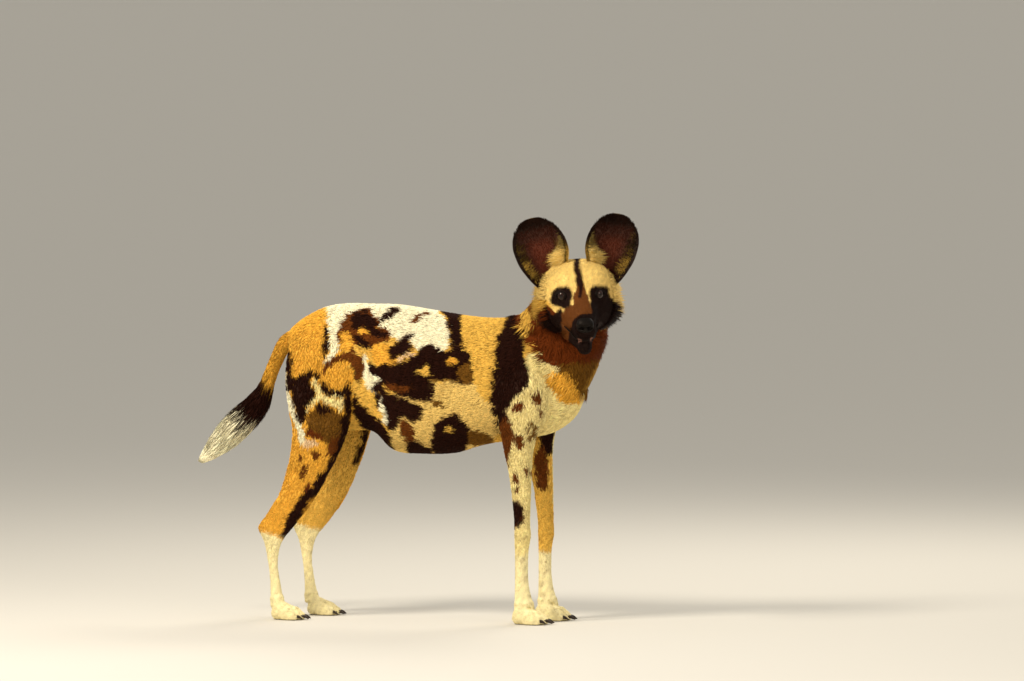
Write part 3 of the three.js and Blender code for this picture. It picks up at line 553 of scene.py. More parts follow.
# The coat's colour at points of the dog's own frame, given each point's part.
def coatColour(points, parts):
    height = points[:, 2]
    jag = waved(points, *coatNoise["fineJag"]) + waved(points, *coatNoise["jag"])
    # The far side borrows the near side's markings, slid along the body more the further from the midline.
    far = points[:, 1] > 0
    slid = points.copy()
    slid[:, 1] = np.where(far, -points[:, 1], points[:, 1])
    away = np.where(far, eased(points[:, 1], *slide["away"]), 0)
    away = away * (slide["least"] + (1 - slide["least"]) * eased(height, *slide["high"]))
    slid[:, 0] += away * (slide["mean"] + waved(points, *coatNoise["slideX"]))
    slid[:, 2] += away * waved(points, *coatNoise["slideZ"])
    wobble = np.stack([waved(points, *coatNoise["across"]), waved(points, *coatNoise["down"])], 1)
    flat = inMarkPlane(points) + wobble
    flatSlid = inMarkPlane(slid) + wobble
    colours = np.tile(linear(tan), (len(points), 1))
    hind, fore = parts == hindPart, parts == forePart
    trackOf = np.where(hind, hipTrack, shoulderTrack) + outerTrack + waved(points, *coatNoise["track"])
    outer = (hind | fore) & far & (points[:, 1] > trackOf)
    # The near side's markings, among them painted shade along the flank fold and the thigh, and a painted
    # highlight on the thigh.
    nearMarksAndPaintedLight = bodyMarks + flankFoldMarksAndPaintedShade + hindMarksAndPaintedLight

    def paintPart(chosen, base, marks, plane, softness=marking["soft"]):
        if chosen.any():
            start = np.tile(linear(base), (chosen.sum(), 1))
            colours[chosen] = painted(start, plane[chosen], marks, jag[chosen], softness)

    paintPart(parts == trunkPart, tan, nearMarksAndPaintedLight, flatSlid)
    paintPart(parts == neckPart, ruffBrown, chestMarks + neckMarksAndPaintedShade, flat, marking["neckSoft"])
    paintPart(hind & ~far, ochre, nearMarksAndPaintedLight, flat)
    paintPart(hind & far & ~outer, tan, farHindMarks, flat)
    paintPart(hind & outer, ochre, nearMarksAndPaintedLight, flatSlid)
    paintPart(fore & ~far, chestCream, bodyMarks + foreMarks, flat)
    paintPart(fore & far & ~outer, tan, farForeMarks, flat)
    paintPart(fore & outer, tan, bodyMarks + foreMarks, flatSlid)
    # The outer faces of the far legs have a few blotches of their own.
    legs = hind | fore
    blotch = eased(waved(points, *coatNoise["blotch"]) + waved(points, *coatNoise["fineBlotch"]), *blotchEdge)
    colours[outer] = toward(colours[outer], darkBrown, blotch[outer])
    # White socks from the hock and the wrist down, freckled forelegs and dark soles.
    slant = height + sockSizes["slant"] * points[:, 0] * hind + jag * sockSizes["jag"]
    hock = sockSizes["hock"] + np.where(far, sockSizes["farRise"], 0)
    hock = hock - sockSizes["slant"] * sockSizes["hockBack"]
    sockTop = np.where(hind, hock, sockSizes["wrist"])
    sock = (1 - eased(slant, sockTop - sockSizes["edge"], sockTop + sockSizes["edge"])) * legs
    colours = toward(colours, sockCream, sock)
    freckle = eased(waved(points, *coatNoise["freckle"]), *freckles["edge"]) * fore
    freckle = freckle * eased(height, *freckles["from"]) * (height < freckles["top"])
    colours = toward(colours, midBrown, freckle * freckles["share"])
    colours = toward(colours, darkBrown, (1 - eased(height, *soleEdge)) * legs)
    # The nape and the far side of the neck are blotched.
    beyond = points[:, 1] + neckBlotches["tilt"] * (points[:, 0] - neckBlotches["middle"])
    neck = (parts == neckPart) * eased(beyond, *neckBlotches["edge"])
    for colour, low, seed in neckColours:
        spread = noise(points, neckBlotches["size"], seed) + jag * neckBlotches["jag"]
        colours = toward(colours, colour, neck * eased(spread, low, low + neckBlotches["soft"]))
    # The head: the face's marks face the camera, its back is tan with a dark nape.
    head = parts == headPart
    if head.any():
        local = toHead(points[head])
        start = np.tile(linear(faceCream), (head.sum(), 1))
        face = painted(start, flat[head], headMarksAndPaintedShade, jag[head] * faceSizes["jag"], faceSizes["soft"])
        onTip = local[:, 0] > faceSizes["tip"]
        lipJag = jag[head][onTip] * faceSizes["lipJag"]
        face[onTip] = painted(face[onTip], flat[head][onTip], lipMarks, lipJag, faceSizes["lipSoft"])
        nape = np.tile(linear(tan), (head.sum(), 1))
        inward = faceSizes["napeHalf"] - np.abs(local[:, 1]) + jag[head] * faceSizes["napeJag"]
        nape = toward(nape, darkBrown, eased(inward, 0, faceSizes["napeEdge"]))
        behind = 1 - eased(local[:, 0], *faceSizes["behind"])
        colours[head] = face + (nape - face) * behind[:, None]
    # The tail: ochre, a dark band, then the white brush.
    tail = parts == tailPart
    if tail.any():
        along = -points[tail, 0] * tailBands["back"] - height[tail] * tailBands["down"]
        along = along + jag[tail] * tailBands["jag"]
        shade = np.tile(linear(ochre), (tail.sum(), 1))
        for colour, start in tailBands["starts"]:
            shade = toward(shade, colour, eased(along, start - tailBands["edge"], start + tailBands["edge"]))
        colours[tail] = shade
    mottled = 1 + waved(points, *coatNoise["mottle"])
    return np.clip(colours * mottled[:, None], *colourRange)


# The flesh, as lofts. Sizes in mm; a leg leans ahead more the further it is below the body.
ringSides = 48
ringAngles = (np.arange(ringSides) + 0.5) / ringSides * fullTurn
stepsPerRow = 7
legSizes = {"hindAhead": 36, "foreAhead": 21, "body": 560, "drop": 360, "hindPaw": .94, "forePaw": 1}
ankleDrop = [3, -14, 2, -22, 0, 2]
toeCoat, neckSteps = 1.2, 10


def placesOf(rows, steps=stepsPerRow):
    return np.linspace(0, len(rows) - 1, (len(rows) - 1) * steps + 1)


def ovalLoft(rows, coat, power=bodyPower):
    return oval(rowsAt(rows, placesOf(rows)), ringAngles, coat, power)


def leanAhead(height):
    return eased(legSizes["body"] - height, 0, legSizes["drop"])


def legRows(rows, side, track, full):
    made = np.array(rows, float)
    ahead = full * leanAhead((made[:, 1] + made[:, 3]) / 2)
    made[:, 0] += ahead
    made[:, 2] += ahead
    made[:, 4] *= side * track
    return made


def pawPlaced(rows, pawX, pawY, size, spread=0, back=0):
    made = np.array(rows, float) * size
    made[:, [0, 2]] += pawX - back * size
    made[:, 4] = pawY + np.array(rows, float)[:, 4] * spread if spread else pawY
    return made


lofts = []
guides = []


# Adds a loft to the flesh, and its points, lie and place on the coat's own map to the guides.
def addLoft(rings, part, sign, chart):
    lofts.append(closedSurface(rings))
    count, sides = rings.shape[:2]
    lie = np.gradient(rings, axis=0) * sign
    across = np.broadcast_to(np.arange(sides) / sides, (count, sides))
    down = np.broadcast_to((np.arange(count) / count)[:, None], (count, sides))
    low, high = np.array(chart[:2]), np.array(chart[2:])
    uv = low + (high - low) * np.stack([across, down], 2)
    guides.append((rings.reshape(-1, 3), lie.reshape(-1, 3), np.full(count * sides, part), uv.reshape(-1, 2)))


# The coat's own map: a band of it, left, low, right and high, for each loft; the legs stand side by side.
charts = {"trunk": (0, 0, 1, .3), "neck": (0, .3, 1, .42), "skull": (0, .42, 1, .56), "jaw": (0, .56, 1, .62),
          "tail": (0, .94, 1, 1)}
legBands = {"leg": (.62, .86), "ankle": (.86, .88), "pad": (.88, .92), "toe": (.92, .94)}
legChart = {"apart": .25, "wide": .24}
addLoft(ovalLoft(trunkRows, trunkCoat), trunkPart, -1, charts["trunk"])
rings = neckRings(rowsAt(neckRows, placesOf(neckRows, neckSteps)), ringAngles, neckCoat)
addLoft(rings, neckPart, -1, charts["neck"])
addLoft(fromHead(ovalLoft(skullRows, headCoat, headPower)), headPart, -1, charts["skull"])
addLoft(fromHead(ovalLoft(jawRows, headCoat, headPower)), headPart, -1, charts["jaw"])
legs = []
for index, (side, rear) in enumerate(((-1, True), (1, True), (-1, False), (1, False))):
    far = side > 0
    ahead = legSizes["hindAhead" if rear else "foreAhead"] if far else 0
    rows = legRows(hindRows if rear else foreRows, side, hipTrack if rear else shoulderTrack, ahead)
    pawX = (farHindPaw if far else nearHindPaw) if rear else (farForePaw if far else nearForePaw)
    size = legSizes["hindPaw" if rear else "forePaw"]
    legs.append((rows, pawX, rows[-1][4], size))
    part = hindPart if rear else forePart
    left = index * legChart["apart"]
    chart = {name: (left, low, left + legChart["wide"], high) for name, (low, high) in legBands.items()}
    addLoft(ovalLoft(rows, legCoat), part, 1, chart["leg"])
    addLoft(ovalLoft(np.array([rows[-1], rows[-1] + ankleDrop]), pawCoat), part, 1, chart["ankle"])
    addLoft(ovalLoft(pawPlaced(padRows, pawX, rows[-1][4], size), pawCoat), part, 1, chart["pad"])
    for spread, back in toes:
        toe = pawPlaced(toeRows, pawX, rows[-1][4], size, spread * size, back)
        addLoft(ovalLoft(toe, toeCoat), part, 1, chart["toe"])
addLoft(ovalLoft(tailRows, tailCoat), tailPart, 1, charts["tail"])
print("lofts made:", len(lofts))


# Whole arrays read out of a mesh's items.
def pulled(items, key, width, kind=np.float32):
    values = np.zeros(len(items) * width, kind)
    items.foreach_get(key, values)
    return values.reshape(-1, width)


def meshPoints(mesh):
    return pulled(mesh.vertices, "co", 3).astype(float) / mm - shift


def movePoints(mesh, points):
    mesh.vertices.foreach_set("co", inRow(points).astype(np.float32).ravel())
    mesh.update()


# The piece's modifier made part of its mesh.
def applied(piece):
    bpy.context.view_layer.update()
    evaluated = piece.evaluated_get(bpy.context.evaluated_depsgraph_get())
    mesh = bpy.data.meshes.new_from_object(evaluated)
    piece.modifiers.clear()
    piece.data = mesh
    return mesh


# Several closed surfaces as one set of points and triangles.
def joined(surfaces):
    offsets = np.cumsum([0] + [len(points) for points, _ in surfaces])
    points = np.concatenate([points for points, _ in surfaces])
    return points, np.concatenate([triangles + start for (_, triangles), start in zip(surfaces, offsets)])


# One skin: the lofts fused on a fine grid, then smoothed where they join, less on the head, feet and tail.
skinSizes = {
    "grid": 2.8, "faces": 92000, "rounds": 26, "pull": 0.5, "least": 0.04, "floor": 0.6,
    "headCalm": 0.8, "headFrom": (10, 60), "headReach": 330, "foot": (45, 110),
    "tailCalm": 0.7, "tailBack": (330, 360), "tailUp": (300, 340), "lieRounds": 14, "lieKept": 0.4,
}
flesh = meshObject("skin", *joined(lofts))
fused = flesh.modifiers.new("fused", "REMESH")
fused.mode = "VOXEL"
fused.voxel_size = skinSizes["grid"] * mm
fusedMesh = applied(flesh)


# The mean of each point's neighbours.
def neighbourMean(values, pairs):
    both = np.concatenate([pairs, pairs[:, ::-1]])
    degree = np.maximum(np.bincount(both[:, 0], minlength=len(values)), 1)
    sums = [np.bincount(both[:, 0], weights=column[both[:, 1]], minlength=len(values)) for column in values.T]
    return np.stack(sums, 1) / degree[:, None]


skinPoints = meshPoints(fusedMesh)
skinPairs = pulled(fusedMesh.edges, "vertices", 2, np.int32)
inHead = toHead(skinPoints)
nearHead = np.linalg.norm(skinPoints - headJoint, axis=1) < skinSizes["headReach"]
onHead = eased(inHead[:, 0], *skinSizes["headFrom"]) * nearHead
onFoot = 1 - eased(skinPoints[:, 2], *skinSizes["foot"])
onTail = eased(-skinPoints[:, 0], *skinSizes["tailBack"]) * eased(skinPoints[:, 2], *skinSizes["tailUp"])
calm = np.maximum.reduce([onHead * skinSizes["headCalm"], onFoot, onTail * skinSizes["tailCalm"]])
for _ in range(skinSizes["rounds"]):
    moved = neighbourMean(skinPoints, skinPairs)
    skinPoints += (moved - skinPoints) * (skinSizes["pull"] * (1 - calm) + skinSizes["least"])[:, None]
skinPoints[:, 2] = np.maximum(skinPoints[:, 2], skinSizes["floor"])


# Muscles and hollows: along a line under the skin, it is raised or drawn in, most on the line itself.
def shaped(points, normals, lines):
    ahead = np.where(points[:, 0] < 0, legSizes["hindAhead"], legSizes["foreAhead"]) * (points[:, 1] > 0)
    sided = np.stack([points[:, 0] - ahead * leanAhead(points[:, 2]), np.abs(points[:, 1]), points[:, 2]], 1)
    moved = np.zeros(len(points))
    for start, end, radius, height in lines:
        a, b = np.array(start, float), np.array(end, float)
        t = np.clip((sided - a) @ (b - a) / max((b - a) @ (b - a), tiny), 0, 1)
        distance = np.linalg.norm(sided - a - t[:, None] * (b - a), axis=1)
        moved += height * np.exp(-((distance / radius) ** 2))
    return points + normals * moved[:, None]


# Start and end of each line (x, distance from the midline, z), its radius and its height.
muscleLines = [
    ([236, 66, 640], [232, 84, 505], 16, 5.0), ([205, 78, 620], [215, 90, 520], 14, -4.6),
    ([168, 96, 600], [150, 98, 430], 16, -8.0), ([190, 92, 480], [178, 88, 425], 22, 5.0),
    ([-190, 78, 652], [-186, 84, 640], 26, 6.0), ([-118, 86, 628], [-60, 96, 620], 34, -6.0),
    ([-132, 90, 540], [-112, 96, 480], 34, -9.0), ([-218, 92, 580], [-262, 96, 440], 15, -6.5),
    ([-240, 92, 560], [-296, 88, 450], 20, 4.5), ([-185, 92, 540], [-205, 96, 410], 24, 5.5),
    ([-296, 84, 318], [-322, 80, 248], 13, -5.5), ([-296, 56, 318], [-322, 60, 248], 13, -5.5),
    ([-316, 70, 330], [-352, 70, 222], 8, 2.4), ([-242, 70, 300], [-276, 70, 240], 10, 2.0),
    ([196, 78, 400], [190, 76, 300], 13, 3.0), ([184, 74, 380], [186, 74, 230], 9, -2.2),
    ([-136, 92, 590], [-150, 94, 500], 10, -7.0), ([-152, 92, 508], [-92, 90, 392], 10, 6.5),
    ([-166, 88, 460], [-128, 84, 395], 13, -7.5), ([-118, 97, 505], [-66, 98, 415], 13, -6.5),
]
ribs = {"count": 6, "apart": 34, "high": [70, 98, 590], "low": [34, 104, 420], "radius": 8, "height": 2.6}
for k in range(ribs["count"]):
    back = np.array([ribs["apart"] * k, 0, 0])
    muscleLines.append((ribs["high"] - back, ribs["low"] - back, ribs["radius"], ribs["height"]))
# Each foot has grooves between its toes, and a knuckle on each toe.
foot = {
    "grooves": (-14.5, 0, 14.5), "high": (38, 36), "middle": (70, 24), "low": (78, 4),
    "radius": 3.6, "deep": -5.0, "knuckle": (56, 30), "knuckleRadius": 8, "knuckleHeight": 2.2,
}
for pawX, track, size in (
    (nearHindPaw, hipTrack, legSizes["hindPaw"]), (nearForePaw, shoulderTrack, legSizes["forePaw"]),
):
    for offset in foot["grooves"]:
        high, middle = (
            [pawX + x * size, track + offset * size, z * size] for x, z in (foot["high"], foot["middle"])
        )
        low = [pawX + foot["low"][0] * size, track + offset * size, foot["low"][1]]
        muscleLines.append((high, middle, foot["radius"], foot["deep"]))
        muscleLines.append((middle, low, foot["radius"], foot["deep"]))
    for spread, back in toes:
        ahead, up = foot["knuckle"]
        knuckle = [pawX + (ahead - back) * size, track + spread * size, up * size]
        muscleLines.append((knuckle, knuckle, foot["knuckleRadius"], foot["knuckleHeight"]))
movePoints(fusedMesh, skinPoints)
movePoints(fusedMesh, shaped(skinPoints, pulled(fusedMesh.vertices, "normal", 3), muscleLines))
thinned = flesh.modifiers.new("thinned", "DECIMATE")
thinned.ratio = min(1, skinSizes["faces"] / max(len(fusedMesh.polygons), 1))
skinMesh = applied(flesh)
skinMesh.name = "skin"
skinMesh.polygons.foreach_set("use_smooth", np.ones(len(skinMesh.polygons), bool))
skinPoints = meshPoints(skinMesh)
skinMesh.calc_loop_triangles()
skinTriangles = pulled(skinMesh.loop_triangles, "vertices", 3, np.int32)
print("skin:", len(skinPoints), "points", len(skinTriangles), "triangles")

# Every skin point learns its lie, part and place on the map from the nearest loft point.
guidePoints, guideLie, guidePart, guideUv = (np.concatenate(values) for values in zip(*guides))
tree = kdtree.KDTree(len(guidePoints))
for i, point in enumerate(guidePoints):
    tree.insert(point, i)
tree.balance()
nearest = np.array([tree.find(point)[1] for point in skinPoints])
skinPart = guidePart[nearest]
skinUv = guideUv[nearest]
skinNormals = pulled(skinMesh.vertices, "normal", 3).astype(float)
skinPairs = pulled(skinMesh.edges, "vertices", 2, np.int32)


def unit(values):
    return values / (np.linalg.norm(values, axis=1, keepdims=True) + tiny)


# The part of a direction that lies along a surface.
def alongSurface(values, normals):
    return unit(values - normals * np.einsum("ij,ij->i", values, normals)[:, None])


lie = unit(guideLie[nearest])
for _ in range(skinSizes["lieRounds"]):
    lie = lie * skinSizes["lieKept"] + neighbourMean(lie, skinPairs) * (1 - skinSizes["lieKept"])
lie = alongSurface(lie, skinNormals)
setColours(skinMesh, coatColour(skinPoints, skinPart))
print("guides read")


# A tuft is a thin closed blade: a root, a triangle at its widest, and a tip, bent down along its lie.
bladeFaces = np.array([[2, 1, 0], [3, 2, 0], [1, 3, 0], [1, 2, 4], [2, 3, 4], [3, 1, 4]])
bladePoints = 5
# The blade's two side corners are painted a little darker than its crest, as painted shade.
bladeSizes = {"widest": 0.34, "rise": 0.08, "bow": 0.14, "thick": 0.7, "sidePaintedShade": 0.92}
# Each blade's patch on the map OFBake.
patch = 0.003
patchCorners = np.array([[.5, 0], [0, .4], [1, .4], [.5, .6], [.5, 1]]) * patch


def blades(roots, normals, along, length, width, lift, curl, sink):
    side = unit(np.cross(normals, along))
    half, long = width[:, None] / 2, length[:, None]
    base = roots - normals * sink
    direction = along * np.cos(lift)[:, None] + normals * np.sin(lift)[:, None]
    bend = normals * (curl * length)[:, None]
    middle = base + direction * long * bladeSizes["widest"] + bend * bladeSizes["rise"]
    tip = base + direction * long - bend * bladeSizes["bow"]
    crest = middle + normals * half * bladeSizes["thick"]
    return np.stack([base, middle - side * half, middle + side * half, crest, tip], 1)


# Joined tufts as one piece; the root is darker, as painted shade deep in the coat, and the tip lighter, as
# painted light.
def tuftPiece(name, shapes, colours, uv, rootPaintedShade, tipPaintedLight):
    count = len(shapes)
    triangles = (np.arange(count)[:, None, None] * bladePoints + bladeFaces[None]).reshape(-1, 3)
    sidePaintedShade = bladeSizes["sidePaintedShade"]
    shade = np.array([rootPaintedShade, sidePaintedShade, sidePaintedShade, 1, tipPaintedLight])
    full = np.clip(colours[:, None, :] * shade[None, :, None], 0, 1).reshape(-1, 3)
    places = (uv[:, None, :] + patchCorners[None]).reshape(-1, 2)
    made = meshObject(name, shapes.reshape(-1, 3), triangles, full, places)
    coatPieces.append(made)
    print(name, count, "tufts")


coatPieces = []
corners = skinPoints[skinTriangles]
faceNormals = np.cross(corners[:, 1] - corners[:, 0], corners[:, 2] - corners[:, 0])
faceArea = np.linalg.norm(faceNormals, axis=1) / 2
facePart = skinPart[skinTriangles[:, 0]]
faceMiddle = corners.mean(1)
faceInHead = toHead(faceMiddle)


# Roots spread over faces by weight and area, with what each inherits from its face.
def scatter(weight, total):
    expected = weight * faceArea
    chosen = rng.choice(len(faceArea), total, p=expected / expected.sum())
    a, b = rng.random((2, total))
    over = a + b > 1
    a[over], b[over] = 1 - a[over], 1 - b[over]
    shares = np.stack([1 - a - b, a, b], 1)
    ids = skinTriangles[chosen]

    def blend(values):
        return np.einsum("ij,ijk->ik", shares, values[ids])

    n = unit(blend(skinNormals))
    d = alongSurface(blend(lie), n)
    return blend(skinPoints), n, d, skinPart[ids[:, 0]], skinUv[ids[:, 0]]


# Quick tries have fewer and wider tufts.
thin = 1
finer = 1 / math.sqrt(thin)

# What all the fur shares: ranges of each tuft's length, width, lift and shade, and how the lie wanders. Its
# root and tip values are the painted shade at each tuft's root and the painted light at its tip.
furSizes = {
    "long": (0.75, 1.25), "wide": (0.8, 1.2), "lift": (0.6, 1.4), "shade": (0.82, 1.14),
    "swirl": (0.25, 70, 61), "floor": 0.3, "root": 0.55, "tip": 1.1,
}


# Fur over the skin: a piece's length and width are functions of the points it grows from.
def fur(name, weight, sizes, length, width):
    roots, n, d, part, uv = scatter(weight, int(sizes["tufts"] * thin))
    count = len(roots)
    long = length(roots) * rng.uniform(*furSizes["long"], count)
    wide = width(roots) * finer * rng.uniform(*furSizes["wide"], count)
    rise = sizes["lift"] * rng.uniform(*furSizes["lift"], count)
    turn = rng.normal(0, sizes["wander"], count) + waved(roots, *furSizes["swirl"])
    d = d * np.cos(turn)[:, None] + np.cross(n, d) * np.sin(turn)[:, None]
    shapes = blades(roots, n, d, long, wide, rise, 1.0, sizes["sink"])
    shapes[:, :, 2] = np.maximum(shapes[:, :, 2], furSizes["floor"])
    colours = coatColour(roots, part) * rng.uniform(*furSizes["shade"], count)[:, None]
    tuftPiece(name, shapes, colours, uv, furSizes["root"], furSizes["tip"])


def steady(value):
    return lambda points: value


# A value that grows from low by gain as the height goes from one level to the other, in mm.
def byHeight(low, gain, start, end):
    return lambda points: low + gain * eased(points[:, 2], start, end)


# A value that falls to low, by gain, from the back of the head to the face.
def byFace(low, gain, start, end):
    return lambda points: low + gain * (1 - eased(toHead(points)[:, 0], start, end))


trunkFur = {"pieces": 3, "tufts": 31000, "long": 19.5, "wide": 2.1, "lift": 0.11, "sink": 1.0, "wander": 0.22}
for k in range(trunkFur["pieces"]):
    weight = (facePart == trunkPart) * 1.0
    fur(f"coat_trunk_{k + 1}", weight, trunkFur, steady(trunkFur["long"]), steady(trunkFur["wide"]))

neckFur = {"tufts": 29000, "long": 29.0, "wide": 2.3, "lift": 0.24, "sink": 1.0, "wander": 0.26}
fur("coat_neck", (facePart == neckPart) * 1.0, neckFur, steady(neckFur["long"]), steady(neckFur["wide"]))

# The legs' fur starts above the soles and is closer below the elbow and the hock.
legFur = {
    "pieces": 2, "tufts": 26500, "long": (5.5, 9.5, 60, 420), "wide": (1.3, 0.8, 80, 420), "lift": 0.15,
    "sink": 0.7, "wander": 0.22, "sole": 8, "closer": 1.2, "closerBelow": 260,
}
low = faceMiddle[:, 2] < legFur["closerBelow"]
onLeg = np.isin(facePart, [hindPart, forePart]) * (faceMiddle[:, 2] > legFur["sole"])
for k in range(legFur["pieces"]):
    weight = onLeg * (1 + legFur["closer"] * low)
    fur(f"coat_legs_{k + 1}", weight, legFur, byHeight(*legFur["long"]), byHeight(*legFur["wide"]))

# The head's fur leaves the eyes and the nose free and is closer on the face.
headFur = {
    "pieces": 2, "tufts": 19000, "long": (5.0, 9.0, 20, 100), "wide": (1.0, 0.7, 20, 100), "lift": 0.17,
    "sink": 0.5, "wander": 0.15, "eye": 12.5, "nose": 15, "closer": 1.2, "closerFrom": 70,
}
noseMiddle = [212, 0, -3]
eyeAway = np.linalg.norm(np.abs(faceInHead) - eyeCentre, axis=1)
noseAway = np.linalg.norm(faceInHead - noseMiddle, axis=1)
onFace = (facePart == headPart) * (eyeAway > headFur["eye"]) * (noseAway > headFur["nose"])
for k in range(headFur["pieces"]):
    weight = onFace * (1 + headFur["closer"] * (faceInHead[:, 0] > headFur["closerFrom"]))
    fur(f"coat_head_{k + 1}", weight, headFur, byFace(*headFur["long"]), byFace(*headFur["wide"]))


# Long hair from roots to tips, each strand one blade, with painted shade at its root and painted light at its
# tip.
strandSizes = {"curl": 0.35, "root": 0.75, "tip": 1.06}


def strands(name, roots, tips, normals, width, colours, uv, rootPaintedShade=strandSizes["root"]):
    direction = tips - roots
    length = np.linalg.norm(direction, axis=1)
    direction = direction / (length[:, None] + tiny)
    n = alongSurface(normals, direction)
    shapes = blades(roots, n, direction, length, width, np.zeros(len(roots)), strandSizes["curl"], 0)
    tuftPiece(name, shapes, colours, uv, rootPaintedShade, strandSizes["tip"])


# The tail: strands root inside the brush at a share of its width, and end at the outline further on. Each
# strand's root is painted a little darker, as painted shade.
tailHair = {
    "strands": 15000, "last": 9.6, "end": 10.0, "bushyFrom": (2.2, 4.5), "short": 0.5, "reach": (0.7, 1.3),
    "root": (0.35, 0.8), "sleekRoot": 0.72, "tip": (0.78, 1.06), "twist": 0.12, "shade": (0.85, 1.12),
    "wide": (2.0, 3.4), "rootPaintedShade": 0.9, "chart": (.94, .05, 10),
}
tailCount = int(tailHair["strands"] * thin)
place = rng.uniform(0, tailHair["last"], tailCount)
angle = rng.uniform(0, fullTurn, tailCount)
bushy = eased(place, *tailHair["bushyFrom"])
reach = tailHair["short"] + bushy * rng.uniform(*tailHair["reach"], tailCount)
ahead = np.minimum(place + reach, tailHair["end"])


def tailPoint(places, angles, share):
    rows = rowsAt(tailRows, places)
    front, rear = rows[:, [0, 1]], rows[:, [2, 3]]
    middle, half = (front + rear) / 2, (front - rear) / 2
    depth, width = bulge(np.cos(angles), bodyPower) * share, bulge(np.sin(angles), bodyPower) * share
    return np.stack([
        middle[:, 0] + half[:, 0] * depth,
        rows[:, 4] + rows[:, 5] * width,
        middle[:, 1] + half[:, 1] * depth,
    ], 1)


rootShare = np.where(bushy > 0.5, rng.uniform(*tailHair["root"], tailCount), tailHair["sleekRoot"])
tailRoots = tailPoint(place, angle, rootShare)
tipAngle = angle + rng.normal(0, tailHair["twist"], tailCount)
tailTips = tailPoint(ahead, tipAngle, rng.uniform(*tailHair["tip"], tailCount))
tailNormals = tailPoint(place, angle, 1) - tailPoint(place, angle, 0)
tailShade = rng.uniform(*tailHair["shade"], tailCount)[:, None]
tailColours = coatColour(tailRoots, np.full(tailCount, tailPart)) * tailShade
chartLow, chartHigh, chartRows = tailHair["chart"]
tailUv = np.stack([angle / fullTurn, chartLow + chartHigh * place / chartRows], 1)
tailWide = rng.uniform(*tailHair["wide"], tailCount) * finer
strands("coat_tail", tailRoots, tailTips, tailNormals, tailWide, tailColours, tailUv, tailHair["rootPaintedShade"])

# The cheeks: longer hair that stands out and back from the sides of the head, fullest below the ear.
cheekHair = {
    "strands": 3000, "places": (0.3, 3.4), "angles": (52, 150), "deep": 4, "upright": 0.6,
    "fullest": (104, 34), "short": 14,
    "gain": 26, "reach": (0.7, 1.15), "out": 0.35, "outGain": 0.45, "trend": (-0.75, 0, -0.28),
    "stray": 0.12, "shade": (0.85, 1.1), "wide": (1.2, 2.2), "chart": (.42, .14, 10),
}
for side, word in ((1, "left"), (-1, "right")):
    count = int(cheekHair["strands"] * thin)
    place = rng.uniform(*cheekHair["places"], count)
    around = np.radians(rng.uniform(*cheekHair["angles"], count))
    rows = rowsAt(skullRows, place)
    middleX, reachZ = (rows[:, 0] + rows[:, 2]) / 2, (rows[:, 1] - rows[:, 3]) / 2
    middleZ = (rows[:, 1] + rows[:, 3]) / 2
    across, upright = bulge(np.sin(around), headPower), bulge(np.cos(around), headPower)
    roots = np.stack([
        middleX,
        side * (rows[:, 5] - cheekHair["deep"]) * across,
        middleZ + (reachZ - cheekHair["deep"]) * upright,
    ], 1)
    outward = np.stack([np.zeros(count), side * across, cheekHair["upright"] * upright], 1)
    fullAngle, fullReach = cheekHair["fullest"]
    fullness = np.exp(-((np.degrees(around) - fullAngle) / fullReach) ** 2)
    long = (cheekHair["short"] + cheekHair["gain"] * fullness) * rng.uniform(*cheekHair["reach"], count)
    trend = outward * (cheekHair["out"] + cheekHair["outGain"] * fullness)[:, None] + cheekHair["trend"]
    trend += rng.normal(0, cheekHair["stray"], (count, 3))
    trend /= np.linalg.norm(trend, axis=1, keepdims=True)
    rootsIn, tipsIn = fromHead(roots), fromHead(roots + trend * long[:, None])
    shade = coatColour((rootsIn + tipsIn) / 2, np.full(count, headPart))
    shade = shade * rng.uniform(*cheekHair["shade"], count)[:, None]
    chartLow, chartHigh, chartRows = cheekHair["chart"]
    uv = np.stack([around / fullTurn, chartLow + chartHigh * place / chartRows], 1)
    wide = rng.uniform(*cheekHair["wide"], count) * finer
    strands(f"coat_cheek_{word}", rootsIn, tipsIn, outward @ headTurned.T, wide, shade, uv)


# Ears: thin cups, dark behind, with a pale fringe inside. Tilt is in degrees: least, gain, share of height.
earSizes = {
    "sides": 61, "rowSteps": 8, "edgePower": 6, "half": 1.4, "front": 1.2, "back": 1.3, "inset": 1.2,
    "tilt": (-27, 14, 0.5), "across": -0.12, "up": (-0.02, 0.31, 0.945), "cupPower": 2.2, "cupMiddle": 0.5,
}
earInside = (50, 21, 12)
earFlesh = (104, 46, 28)
# Edges of the ear's colours, across it or up its height, and how strong each colour is.
earMarks = {
    "rimAcross": (0.72, 0.9), "rimUp": (0.72, 0.86),
    "warm": 0.6, "warmUp": (0.45, 0.7), "warmAcross": (0.2, 0.7),
    "low": 0.75, "lowUp": (0.25, 0.62), "lowAcross": (0.45, 0.8), "lowRim": 0.7,
    "pale": 0.8, "paleUp": (0.05, 0.3),
}


def earBasis(share):
    least, gain, top = earSizes["tilt"]
    tilt = np.radians(least + gain * np.clip(share / top, 0, 1))
    across = np.stack([np.full_like(tilt, earSizes["across"]), np.cos(tilt), np.sin(tilt)], -1)
    across /= np.linalg.norm(across, axis=-1, keepdims=True)
    up = np.array(earSizes["up"])
    up /= np.linalg.norm(up)
    ahead = np.cross(across, up)
    ahead *= np.sign(ahead[..., :1])
    ahead /= np.linalg.norm(ahead, axis=-1, keepdims=True)
    return across, up, ahead


# A point of the ear: share up its height, s across it from -1 to 1, depth behind the front.
def earPoint(places, s, depth, inset):
    rows = rowsAt(earRows, places)
    across, up, ahead = earBasis(rows[:, 0])
    middle = earRoot + up * (rows[:, 0] * earLength)[:, None] - ahead * rows[:, 3:4]
    cup = rows[:, 2] * (np.abs(s) ** earSizes["cupPower"] - earSizes["cupMiddle"])
    return middle + across * (s * (rows[:, 1] - inset))[:, None] + ahead * (cup - depth)[:, None]


